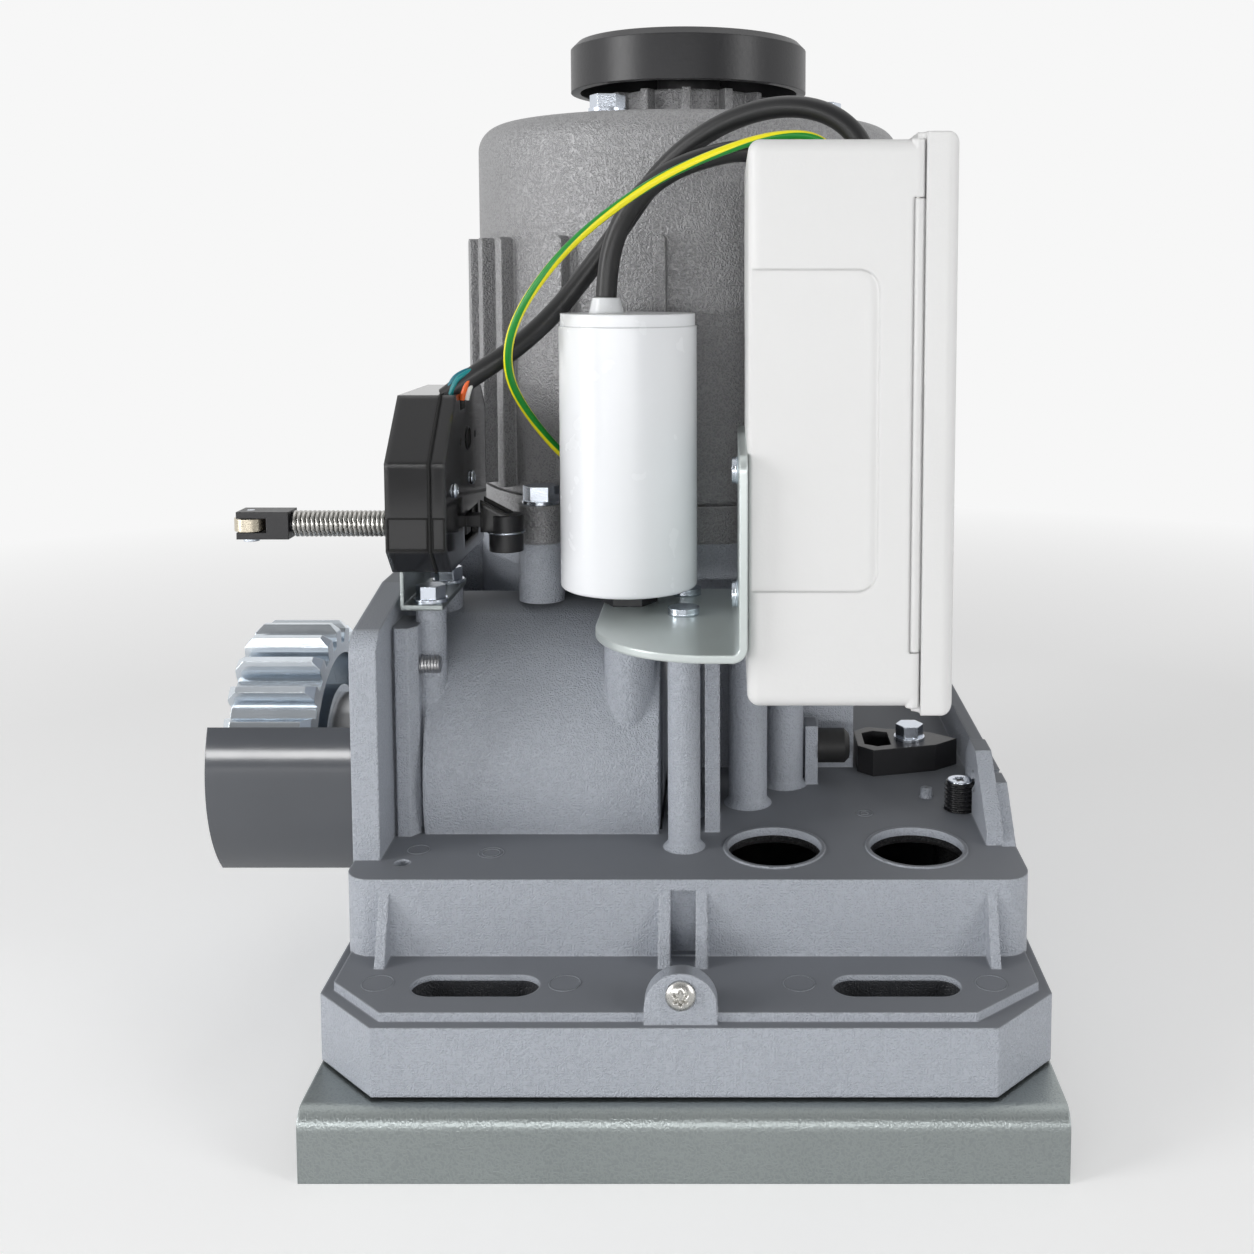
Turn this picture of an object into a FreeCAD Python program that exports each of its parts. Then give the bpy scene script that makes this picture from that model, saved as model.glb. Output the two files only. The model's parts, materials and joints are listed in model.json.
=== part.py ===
"""Sliding gate motor: a fan-cooled motor upright on a cast gearbox, with its rack pinion at the left.

Frame: +Z up, front is -Y, the pinion is at -X. The origin is the middle of the base plate's underside.
Lengths are millimetres. Sizes live in the sheet; every piece is tied to its cells by expressions.
"""
import FreeCAD, Part
import Sketcher
import math
import os
import re

doc = FreeCAD.newDocument("sliding_gate_motor")
sheet = doc.addObject("Spreadsheet::Sheet", "Sizes")

# ---------------------------------------------------------------- driving dimensions
SIZES = [
    # folded base plate
    ("base_margin", 7), ("base_high", 23), ("base_gauge", 3), ("base_bend", 6),
    ("base_hole_radius", 6.5), ("window_left", 6), ("window_right", 106), ("window_front", -124),
    ("window_back", -76),
    # casting: flange, block and shelf
    ("level_gap", 1), ("flange_step", 2.5), ("flange_deep", 336), ("flange_chamfer", 21.5),
    ("ledge_high", 22.6), ("plateau_high", 2.9), ("plateau_inset", 4), ("skirt_wall", 6),
    ("slot_gap_x", 138), ("slot_gap_y", 294), ("slot_long", 42), ("slot_wide", 14), ("slot_rim", 6),
    ("block_wide", 235), ("block_deep", 254), ("block_high", 27), ("block_corner", 9), ("shelf_wall", 5),
    # walls that stand on the shelf
    ("wall_thick", 9.5), ("wall_front", -111), ("wall_high", 79.5), ("wall_crest", 88.5),
    ("wall_crest_y", -62), ("wall_back", 96), ("right_wall_thick", 5), ("right_wall_front", -99),
    ("right_wall_high", 17), ("right_wall_ramp", 18), ("right_wall_back", 112),
    ("gusset_in", 10.5), ("gusset_thick", 5), ("gusset_front", -98), ("gusset_back", -52),
    ("gusset_high", 26.5), ("gusset_hole_y", -69), ("gusset_hole_radius", 4),
    # worm wheel drum and output axis
    ("output_y", -30), ("output_z", 93), ("drum_left", -97.8), ("drum_right", -11.7),
    ("drum_radius", 60), ("drum_wall", 4.5), ("drum_end", 8), ("neck_radius", 38),
    # gears
    ("worm_module", 3), ("wheel_teeth", 34), ("worm_pitch_radius", 24.5), ("wheel_face", 28),
    ("worm_long", 52), ("spur_module", 2), ("spur_small_teeth", 17), ("spur_large_teeth", 34),
    ("spur_face", 12), ("tooth_play", 0.3), ("wheel_play", 0.8), ("pinion_module", 4), ("pinion_teeth", 22),
    ("pinion_face", 33), ("pinion_left", -177), ("pinion_bevel", 3.2), ("pinion_web", 12),
    ("pinion_hub_radius", 22), ("pinion_rim_radius", 35), ("key_wide", 8), ("key_rise", 3.3), ("bolt_recess", 7),
    # worm barrel and gear case under the motor deck
    ("barrel_radius", 34), ("barrel_wall", 5), ("case_wall", 4.5), ("case_high", 24.5),
    ("case_floor", 4), ("gear_room", 2.5), ("deck_high", 14.1), ("deck_top", 176.6),
    ("rear_wall_left", -8), ("rear_wall_right", 66), ("rear_wall_y", -17), ("rear_wall_thick", 6),
    ("deck_radius", 92.5), ("ear_ring", 101), ("ear_angle", 56), ("ear_radius", 9), ("ear_drop", 9.5),
    # motor
    ("motor_radius", 92.5), ("motor_wall", 6), ("motor_flange_high", 16.1), ("motor_groove", 1.2),
    ("motor_high", 168.4), ("dome_rise", 4), ("shoulder_round", 11), ("tie_ring", 66),
    ("fin_high", 6), ("fin_thick", 4.5), ("fin_rise", 18.4), ("fin_drop", 48),
    ("hub_radius", 30), ("hub_rise", 11.4), ("hub_rib_thick", 3.5), ("hub_rib_out", 36),
    ("stator_wall", 40), ("stator_rise", 45.4), ("stator_high", 74), ("winding_high", 16),
    ("air_gap", 0.7), ("shaft_radius", 10), ("flywheel_radius", 52), ("flywheel_gap", 1.3),
    ("flywheel_high", 21.3), ("flywheel_wall", 4), ("flywheel_hub", 14), ("bearing_outer", 23.5),
    ("bearing_high", 14), ("bolt_radius", 4), ("screw_radius", 2.4),
    # output shaft and bearings
    ("output_radius", 15), ("output_bearing_outer", 31), ("output_bearing_wide", 16),
    ("tail_radius", 10), ("seal_wide", 6), ("seal_outer", 25), ("worm_shaft_radius", 8.5),
    ("web_outer", 40), ("web_inner", 27), ("web_thick", 12),
    ("worm_bearing_outer", 20), ("worm_bearing_high", 12), ("cover_thick", 5), ("fit_gap", 0.05),
    # columns and bosses: places on the shelf, radii and tops
    ("bracket_seat", 159), ("column_radius", 5.8), ("column_x", -2), ("column_y", -98.5),
    ("column_back_y", -67), ("column_foot", 2.2), ("rib_x", 8), ("rib_front", -86), ("rib_deep", 20),
    ("rib_wide", 5.5), ("prop_radius", 7.5), ("prop_x", 21.5), ("prop_y", -56), ("post_x", 36.6),
    ("post_y", -35), ("boss_x", -22.8), ("boss_y", -76), ("boss_radius", 9.5),
    ("limit_boss_x", -96.5), ("limit_boss_y", -76), ("limit_boss_back", -43),
    ("limit_boss_radius", 5.65), ("pad_left", -109), ("pad_right", -99.3), ("pad_front", -90),
    # shelf fittings
    ("cable_hole_radius", 16.85), ("cable_hole_x", 30.4), ("cable_hole_gap", 51), ("cable_hole_y", -100),
    ("cable_rim", 1.4), ("level_in", 14.3), ("level_y", 62.4), ("level_radius", 6), ("level_out", 11.6),
    ("level_back_y", 104), ("lug_x", -1.15), ("lug_half", 11.6), ("lug_high", 13.8),
    ("lug_thick", 6), ("lug_front", -166),
    ("buffer_y", -31), ("buffer_z", 90.8), ("buffer_radius", 6.9), ("buffer_long", 13),
    ("buffer_plate_x", 45), ("buffer_plate_thick", 5), ("buffer_plate_high", 24), ("buffer_plate_deep", 12),
    ("clamp_in", 7.5), ("clamp_long", 42.5), ("clamp_front", -28), ("clamp_back", 2), ("clamp_high", 11),
    ("clamp_bolt_in", 20), ("clamp_bolt_y", -13),
    # capacitor and its bracket
    ("plate_gauge", 2.6), ("plate_left", -31.7), ("plate_front", -154), ("plate_back", -58),
    ("leg_top", 225), ("plate_bend", 5), ("plate_corner", 40),
    ("can_x", -22.6), ("can_y", -79), ("can_radius", 25), ("can_foot", 167.7), ("can_high", 100),
    ("can_lid_high", 4.5), ("collar_x", -30.3), ("collar_high", 5.6), ("can_nut_radius", 10),
    # control box
    ("box_left", 19.9), ("box_right", 72.6), ("box_front", -150), ("box_back", -52), ("box_foot", 143.2),
    ("box_top", 323.3), ("box_wall", 2.5), ("box_round", 4), ("lid_gap", 0.3), ("lid_right", 85.7),
    ("knuckle_radius", 2.2), ("knuckle_long", 18), ("notch_y", -89), ("board_gauge", 1.6),
    ("lid_over", 2.2), ("lid_wall", 2.5), ("panel_right", 61), ("panel_foot", 181),
    ("panel_top", 283), ("panel_deep", 1.2), ("panel_corner", 6.5), ("pin_radius", 1.2),
    ("hinge_long", 30), ("transformer_out", 30.4), ("transformer_front", 20), ("transformer_deep", 38),
    ("transformer_foot", 24), ("transformer_high", 34), ("terminal_out", 14.4), ("terminal_back", 14),
    ("terminal_wide", 10), ("terminal_foot", 20), ("terminal_long", 54), ("terminal_step", 70),
    # limit switch, lever and roller
    ("switch_left", -105), ("switch_right", -84), ("switch_split", -89.5), ("switch_front", -108),
    ("switch_back", -26), ("switch_rise", 17.7), ("switch_high", 61.7), ("switch_wall", 2.2),
    ("entry_y", -74), ("entry_half", 4.6), ("entry_deep", 6.2), ("micro_near", 8), ("micro_long", 14),
    ("switch_shoulder", 22), ("switch_nose", 9), ("lever_y", -60), ("lever_rise", 10.6), ("pivot_x", -95),
    ("slit_half", 14), ("slit_high", 11.6), ("spring_radius", 5.1), ("spring_wire", 1.7),
    ("spring_left", -152), ("clevis_left", -171.7), ("clevis_wide", 11),
    ("clevis_high", 10.4), ("roller_x", -167.8), ("roller_radius", 6.15), ("roller_high", 4.8),
    ("rivet_radius", 1.5), ("arm_hub_x", -70.7), ("arm_hub_radius", 6.5), ("arm_hub_drop", 10.3),
    ("foot_gauge", 2), ("stud_z", 139), ("foot_left", -106.2),
    # pinion guard
    ("guard_radius", 54), ("guard_wall", 3), ("guard_left", -179.7), ("guard_up", 23), ("guard_down", 44),
    # cords
    ("cable_radius", 3.8), ("earth_radius", 1.65), ("earth_x", -35), ("earth_y", -48.2), ("earth_head", 4), ("earth_z", 199.4),
]

# Places that follow from the sizes above.
WORKED_OUT = [
    ("flange_wide", "block_wide + 2 * flange_step"),
    ("base_wide", "flange_wide"),
    ("base_deep", "flange_deep + 2 * base_margin"),
    ("gusset_x", "block_wide / 2 - gusset_in"),
    ("level_x", "block_wide / 2 - level_in"),
    ("clamp_right", "block_wide / 2 - clamp_in"),
    ("clamp_left", "clamp_right - clamp_long"),
    ("clamp_bolt_x", "clamp_right - clamp_bolt_in"),
    ("switch_foot", "bracket_seat + switch_rise"),
    ("switch_top", "switch_foot + switch_high"),
    ("lever_z", "switch_foot + lever_rise"),
    ("arm_hub_low", "lever_z - arm_hub_drop"),
    ("casting_foot", "base_high + level_gap"),
    ("ledge_top", "casting_foot + ledge_high"),
    ("plateau_top", "ledge_top + plateau_high"),
    ("shelf_top", "plateau_top + block_high"),
    ("wall_left", "-block_wide / 2 - 0.5"),
    ("wall_inner", "wall_left + wall_thick"),
    ("wheel_pitch_radius", "worm_module * wheel_teeth / 2"),
    ("worm_x", "(drum_left + drum_right) / 2"),
    ("motor_y", "output_y + wheel_pitch_radius + worm_pitch_radius"),
    ("motor_x", "worm_x + spur_module * (spur_small_teeth + spur_large_teeth) / 2"),
    ("deck_foot", "deck_top - deck_high"),
    ("case_foot", "deck_foot - case_high"),
    ("barrel_foot", "output_z - worm_long / 2 - worm_bearing_high - shelf_wall"),
    ("motor_foot", "deck_top + motor_flange_high"),
    ("bore_radius", "drum_radius - drum_wall"),
    ("drum_inner_left", "drum_left + drum_end"),
    ("pinion_right", "pinion_left + pinion_face"),
    ("stator_outer", "motor_radius - motor_wall"),
    ("stator_inner", "stator_outer - stator_wall"),
    ("rotor_radius", "stator_inner - air_gap"),
    ("motor_shoulder", "deck_top + motor_high"),
    ("motor_dome", "motor_shoulder + dome_rise"),
    ("tie_seat", "motor_shoulder + dome_rise / 2"),
    ("hub_top", "motor_dome + hub_rise"),
    ("fin_foot", "deck_top + fin_rise"),
    ("fin_top", "motor_shoulder - fin_drop"),
    ("stator_foot", "deck_top + stator_rise"),
    ("stator_top", "stator_foot + stator_high"),
    ("flywheel_foot", "hub_top + flywheel_gap"),
    ("flywheel_top", "flywheel_foot + flywheel_high"),
    ("lid_left", "box_right + lid_gap"),
    ("hinge_x", "box_right + lid_gap / 2"),
    ("hinge_y", "box_front + knuckle_radius"),
    ("can_top", "can_foot + can_high"),
    ("plate_top", "bracket_seat + plate_gauge"),
    ("leg_right", "box_left"),
    ("board_x", "box_left + box_wall + 8"),
    ("leg_left", "box_left - plate_gauge"),
    ("flange_top", "motor_foot - motor_groove"),
]


def fill_sheet():
    """Driving numbers first, then the cells worked out from them."""
    row = 0
    for alias, number in SIZES:
        row += 1
        sheet.set(f"A{row}", alias)
        sheet.set(f"B{row}", str(number))
        sheet.setAlias(f"B{row}", alias)
    for alias, formula in WORKED_OUT:
        row += 1
        sheet.set(f"A{row}", alias)
        sheet.set(f"B{row}", f"={formula}")
        sheet.setAlias(f"B{row}", alias)
    doc.recompute()


fill_sheet()
V = FreeCAD.Vector
KEPT = []


def size(alias):
    """A cell's value, for geometry worked out in this file."""
    return float(sheet.get(alias))


def tied(text):
    """An expression text with each sheet name given its sheet."""
    return re.sub(r"\b[a-z]+(?:_[a-z]+)+\b", lambda name: f"Sizes.{name.group(0)}", str(text))


def tie(item, prop, text):
    item.setExpression(prop, tied(text))


def keep(item, label):
    """Marks an object as one sub-part of the product, named as its file is."""
    item.Label = label
    KEPT.append(item)
    return item


# ---------------------------------------------------------------- Part primitives
TURN = {"Z": FreeCAD.Rotation(), "X": FreeCAD.Rotation(V(0, 1, 0), 90), "Y": FreeCAD.Rotation(V(1, 0, 0), -90)}


def put(item, x, y, z):
    for letter, text in zip("xyz", (x, y, z)):
        tie(item, f"Placement.Base.{letter}", text)
    return item


def spot(axis, at, low):
    """Two cross coordinates and a start along the axis, as x, y, z."""
    if axis == "X":
        return low, at[0], at[1]
    if axis == "Y":
        return at[0], low, at[1]
    return at[0], at[1], low


def block(x, y, z, name="block"):
    item = doc.addObject("Part::Box", name)
    for prop, (low, high) in zip(("Length", "Width", "Height"), (x, y, z)):
        tie(item, prop, f"({high}) - ({low})")
    return put(item, x[0], y[0], z[0])


def rod(axis, at, radius, span, name="rod"):
    item = doc.addObject("Part::Cylinder", name)
    item.Placement = FreeCAD.Placement(V(), TURN[axis])
    tie(item, "Radius", radius)
    tie(item, "Height", f"({span[1]}) - ({span[0]})")
    return put(item, *spot(axis, at, span[0]))


def cone(axis, at, radii, span, name="cone"):
    item = doc.addObject("Part::Cone", name)
    item.Placement = FreeCAD.Placement(V(), TURN[axis])
    tie(item, "Radius1", radii[0])
    tie(item, "Radius2", radii[1])
    tie(item, "Height", f"({span[1]}) - ({span[0]})")
    return put(item, *spot(axis, at, span[0]))


def hexagon(axis, at, across, span, name="hexagon"):
    """A hexagon prism, its size given across flats."""
    item = doc.addObject("Part::Prism", name)
    item.Polygon = 6
    item.Placement = FreeCAD.Placement(V(), TURN[axis])
    tie(item, "Circumradius", f"({across}) / sqrt(3)")
    tie(item, "Height", f"({span[1]}) - ({span[0]})")
    return put(item, *spot(axis, at, span[0]))


def fuse(*items, name="fuse"):
    item = doc.addObject("Part::MultiFuse", name)
    item.Shapes = list(items)
    return item


def cut(base, *tools, name="cut"):
    item = doc.addObject("Part::Cut", name)
    item.Base = base
    item.Tool = tools[0] if len(tools) == 1 else fuse(*tools)
    return item


def group(*items, name="group"):
    """Separate solids in one node."""
    item = doc.addObject("Part::Compound", name)
    item.Links = list(items)
    return item


# ---------------------------------------------------------------- PartDesign bodies
def origin_plane(body, role):
    return next(item for item in body.Origin.OriginFeatures if item.Role == role)


def polygon(*corners):
    """Straight outline: each corner is held to the sketch's origin by two tied distances."""
    def draw(sketch):
        first = sketch.GeometryCount
        count = len(corners)
        ring = [V(10 * math.cos(2 * math.pi * i / count), 10 * math.sin(2 * math.pi * i / count), 0)
                for i in range(count)]
        for i in range(count):
            sketch.addGeometry(Part.LineSegment(ring[i], ring[(i + 1) % count]), False)
        for i in range(count):
            sketch.addConstraint(Sketcher.Constraint("Coincident", first + i, 2, first + (i + 1) % count, 1))
        for i, (x, y) in enumerate(corners):
            for kind, text, start in (("DistanceX", x, ring[i].x), ("DistanceY", y, ring[i].y)):
                rule = sketch.addConstraint(Sketcher.Constraint(kind, -1, 1, first + i, 1, start))
                tie(sketch, f"Constraints[{rule}]", text)
    return draw


def rectangle(x, y):
    return polygon((x[0], y[0]), (x[1], y[0]), (x[1], y[1]), (x[0], y[1]))


def circle(x, y, radius):
    def draw(sketch):
        ring = sketch.addGeometry(Part.Circle(V(1, 1, 0), V(0, 0, 1), 1), False)
        for kind, text in (("DistanceX", x), ("DistanceY", y)):
            rule = sketch.addConstraint(Sketcher.Constraint(kind, -1, 1, ring, 3, 1.0))
            tie(sketch, f"Constraints[{rule}]", text)
        rule = sketch.addConstraint(Sketcher.Constraint("Radius", ring, 1.0))
        tie(sketch, f"Constraints[{rule}]", radius)
    return draw


class Piece:
    """One PartDesign body and the few kinds of feature this product needs."""

    def __init__(self, label, base=None):
        self.body = keep(doc.addObject("PartDesign::Body", label), label)
        if base is not None:
            self.body.BaseFeature = base
            doc.recompute()

    def place(self, x="0", y="0", z="0", axis="Z"):
        self.body.Placement = FreeCAD.Placement(V(), TURN[axis])
        put(self.body, x, y, z)
        return self

    def sketch(self, plane, level, outlines):
        sketch = self.body.newObject("Sketcher::SketchObject", "Sketch")
        sketch.AttachmentSupport = [(origin_plane(self.body, f"{plane}_Plane"), "")]
        sketch.MapMode = "FlatFace"
        tie(sketch, "AttachmentOffset.Base.z", level)
        for draw in outlines:
            draw(sketch)
        return sketch

    def extrude(self, kind, plane, span, outlines, taper):
        # A pad grows along the sketch normal, a pocket against it; the XZ plane's normal is -Y.
        low, high = (f"-({span[1]})", f"-({span[0]})") if plane == "XZ" else span
        start = low if kind == "Pad" else high
        sketch = self.sketch(plane, start, outlines)
        feature = self.body.newObject(f"PartDesign::{kind}", kind)
        feature.Profile = sketch
        tie(feature, "Length", f"({high}) - ({low})")
        feature.TaperAngle = taper
        return feature

    def pad(self, plane, span, *outlines, taper=0):
        self.extrude("Pad", plane, span, outlines, taper)
        doc.recompute()
        return self

    def pocket(self, plane, span, *outlines, taper=0):
        before = self.body.Shape.Volume
        self.extrude("Pocket", plane, span, outlines, taper)
        doc.recompute()
        if self.body.Shape.Volume > before - 0.5:
            raise ValueError(f"{self.body.Label}: a pocket in plane {plane} cuts nothing at {span}")
        return self

    def turned(self, outline):
        """A profile of (radius, height) corners turned about the body's own Z axis."""
        sketch = self.sketch("XZ", "0", [outline])
        feature = self.body.newObject("PartDesign::Revolution", "Revolution")
        feature.Profile = sketch
        feature.ReferenceAxis = (sketch, ["V_Axis"])
        feature.Angle = 360
        doc.recompute()
        return self

    def soften(self, kind, amount, pick):
        """Fillet or Chamfer on the edges that pick chooses."""
        tip = self.body.Tip
        names = [f"Edge{i + 1}" for i, edge in enumerate(tip.Shape.Edges) if pick(edge)]
        if not names:
            raise ValueError(f"{self.body.Label}: no edge to soften by {amount}")
        feature = self.body.newObject(f"PartDesign::{kind}", kind)
        feature.Base = (tip, names)
        tie(feature, "Radius" if kind == "Fillet" else "Size", amount)
        doc.recompute()
        if "Invalid" in feature.State:
            raise ValueError(f"{self.body.Label}: {kind} of {amount} failed on {names}")
        return self


def near(value, alias_or_number, slack=0.01):
    target = size(alias_or_number) if isinstance(alias_or_number, str) else alias_or_number
    return abs(value - target) < slack


def middle(edge):
    return edge.CenterOfMass


def runs(edge, axis):
    """True for a straight edge along the named axis."""
    step = edge.Vertexes[-1].Point - edge.Vertexes[0].Point
    return (step.Length > 0 and abs(edge.Length - step.Length) < 1e-6
            and abs(abs(getattr(step, axis.lower())) - step.Length) < 1e-6)


# ---------------------------------------------------------------- base plate
def base_plate():
    side, deep = "base_wide / 2", "base_deep / 2"
    piece = Piece("base_plate")
    inner, under = f"{deep} - base_gauge", "base_high - base_gauge"
    piece.pad("YZ", (f"-{side}", side), polygon(
        (f"-{deep}", "0"), (f"-({inner})", "0"), (f"-({inner})", under), (inner, under),
        (inner, "0"), (deep, "0"), (deep, "base_high"), (f"-{deep}", "base_high")))
    piece.soften("Fillet", "base_bend", lambda e: runs(e, "X") and near(middle(e).z, "base_high"))
    piece.soften("Fillet", "base_bend - base_gauge", lambda e: runs(e, "X")
                 and near(middle(e).z, size("base_high") - size("base_gauge")))
    holes = [circle(f"{sx} * slot_gap_x / 2", f"{sy} * slot_gap_y / 2", "base_hole_radius")
             for sx in (-1, 1) for sy in (-1, 1)]
    piece.pocket("XY", (under, "base_high"), *holes)
    piece.pocket("XY", (under, "base_high"),
                 rectangle(("window_left", "window_right"), ("window_front", "window_back")))
    piece.soften("Fillet", "base_bend", lambda e: runs(e, "Z") and near(abs(e.Length), "base_gauge")
                 and size("window_left") - 1 < middle(e).x < size("window_right") + 1
                 and size("window_front") - 1 < middle(e).y < size("window_back") + 1)


# ---------------------------------------------------------------- gearbox casting
def octagon(wide, deep, bevel):
    x, y = f"({wide}) / 2", f"({deep}) / 2"
    return polygon((f"-({x})", f"-({y}) + {bevel}"), (f"-({x}) + {bevel}", f"-({y})"),
                   (f"{x} - {bevel}", f"-({y})"), (x, f"-({y}) + {bevel}"),
                   (x, f"{y} - {bevel}"), (f"{x} - {bevel}", y),
                   (f"-({x}) + {bevel}", y), (f"-({x})", f"{y} - {bevel}"))


def slot_bar(sx, sy, half_wide, span):
    """A slot's solid: a bar with round ends, centred on its stud's place."""
    x, y = f"{sx} * slot_gap_x / 2", f"{sy} * slot_gap_y / 2"
    reach = "(slot_long - slot_wide) / 2"
    bar = block((f"{x} - {reach}", f"{x} + {reach}"), (f"{y} - ({half_wide})", f"{y} + {half_wide}"), span)
    ends = [rod("Z", (f"{x} + {side} * {reach}", y), half_wide, span) for side in (-1, 1)]
    return fuse(bar, *ends)


def upright(x, y, radius, top, foot="column_foot"):
    """A cast column on the shelf with a flared foot."""
    stem = rod("Z", (x, y), radius, ("shelf_top - 1", top))
    flare = cone("Z", (x, y), (f"{radius} + {foot}", radius), ("shelf_top - 0.5", f"shelf_top + {foot}"))
    return fuse(stem, flare)


LEVEL_PLACES = [("level_x", "-level_y"), ("level_x", "level_back_y"), ("-level_x", "level_back_y")]


def ear_places():
    """The four motor bolts, as factors of the ear ring along X and Y."""
    return [(sx, sy) for sx in (-1, 1) for sy in (-1, 1)]


def ear_at(sx, sy):
    return (f"motor_x + {sx} * ear_ring * cos(ear_angle * 1)", f"motor_y + {sy} * ear_ring * sin(ear_angle * 1)")


def helper(label):
    """A body that is only a step towards a sub-part."""
    piece = Piece(label)
    KEPT.remove(piece.body)
    return piece


def flange_and_block():
    """The solids of flange and block, and the two hollows that open them from below."""
    x, y = "block_wide / 2", "block_deep / 2"
    flange = helper("flange")
    flange.pad("XY", ("casting_foot", "ledge_top"), octagon("flange_wide", "flange_deep", "flange_chamfer"))
    flange.pad("XY", ("ledge_top", "plateau_top"),
               octagon("flange_wide - 2 * plateau_inset", "flange_deep - 2 * plateau_inset",
                       "flange_chamfer - plateau_inset / 2"))
    body = helper("block")
    body.pad("XY", ("plateau_top - 1", "shelf_top"), rectangle((f"-{x}", x), (f"-{y}", y)))
    body.soften("Fillet", "block_corner", lambda e: runs(e, "Z"))
    under = helper("flange_hollow")
    under.pad("XY", ("casting_foot - 1", "plateau_top - skirt_wall"),
              octagon("flange_wide - 2 * skirt_wall - 2 * plateau_inset",
                      "flange_deep - 2 * skirt_wall - 2 * plateau_inset", "flange_chamfer"))
    upper = helper("block_hollow")
    upper.pad("XY", ("plateau_top - skirt_wall - 1", "shelf_top - shelf_wall"),
              rectangle((f"-({x} - skirt_wall)", f"{x} - skirt_wall"), (f"-({y} - skirt_wall)", f"{y} - skirt_wall")))
    upper.soften("Fillet", "block_corner - skirt_wall", lambda e: runs(e, "Z"))
    return (flange.body, body.body), (under.body, upper.body)


def side_walls():
    """The tall wall beside the pinion and the low one at the right, drawn from the side."""
    left = helper("left_wall")
    foot, top, crest = "shelf_top - 1", "shelf_top + wall_high", "shelf_top + wall_crest"
    left.pad("YZ", ("wall_left", "wall_inner"), polygon(
        ("wall_front", foot), ("wall_front", top), ("wall_crest_y", crest), ("wall_back - 30", crest),
        ("wall_back", top), ("wall_back", foot)))
    left.soften("Fillet", "block_corner", lambda e: runs(e, "X") and near(middle(e).y, "wall_front")
                and middle(e).z > size("shelf_top"))
    left.pad("XY", (foot, f"{top} - 2"), polygon(
        ("wall_inner - 1", "pad_front + 6"), ("pad_left + 2", "pad_front"), ("pad_right - 3", "pad_front"),
        ("pad_right", "pad_front + 4"), ("pad_right", "limit_boss_y + 6"), ("wall_inner - 1", "limit_boss_y + 6")))
    right = helper("right_wall")
    high = "shelf_top + right_wall_high"
    right.pad("YZ", ("block_wide / 2 - right_wall_thick", "block_wide / 2"), polygon(
        ("right_wall_front", foot), ("right_wall_front", "shelf_top"),
        ("right_wall_front + right_wall_ramp", high), ("right_wall_back", high), ("right_wall_back", foot)))
    right.pad("YZ", ("gusset_x", "gusset_x + gusset_thick + 1"), polygon(
        ("gusset_front", foot), ("gusset_front", "shelf_top + gusset_thick"),
        ("gusset_hole_y - 4", "shelf_top + gusset_high"), ("gusset_back - 8", "shelf_top + gusset_high"),
        ("gusset_back", "shelf_top + gusset_high - 8"), ("gusset_back", foot)))
    right.pocket("YZ", ("gusset_x - 1", "block_wide / 2 + 1"),
                 circle("gusset_hole_y", "shelf_top + gusset_high / 2", "gusset_hole_radius"))
    return left.body, right.body


def front_ribs():
    """Small webs on the block's front, and the cover lug between the slots."""
    front = "-block_deep / 2"
    webs = []
    for x, thick in (("-105", "3.4"), ("102", "3.4"), ("-9.8", "4"), ("2.8", "4")):
        web = helper("web")
        web.pad("YZ", (x, f"{x} + {thick}"), polygon(
            (f"{front} + 1", "plateau_top - 1"), (f"{front} - 9", "plateau_top - 1"),
            (f"{front} - 9", "plateau_top"), (f"{front} + 0.5", "shelf_top - 3"), (f"{front} + 1", "shelf_top - 3")))
        webs.append(web.body)
    span = ("lug_front", "lug_front + lug_thick")
    lug = [block(("lug_x - lug_half", "lug_x + lug_half"), span, ("ledge_top - 1", "plateau_top + lug_high - lug_half")),
           rod("Y", ("lug_x", "plateau_top + lug_high - lug_half"), "lug_half", span)]
    return webs + lug


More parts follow.
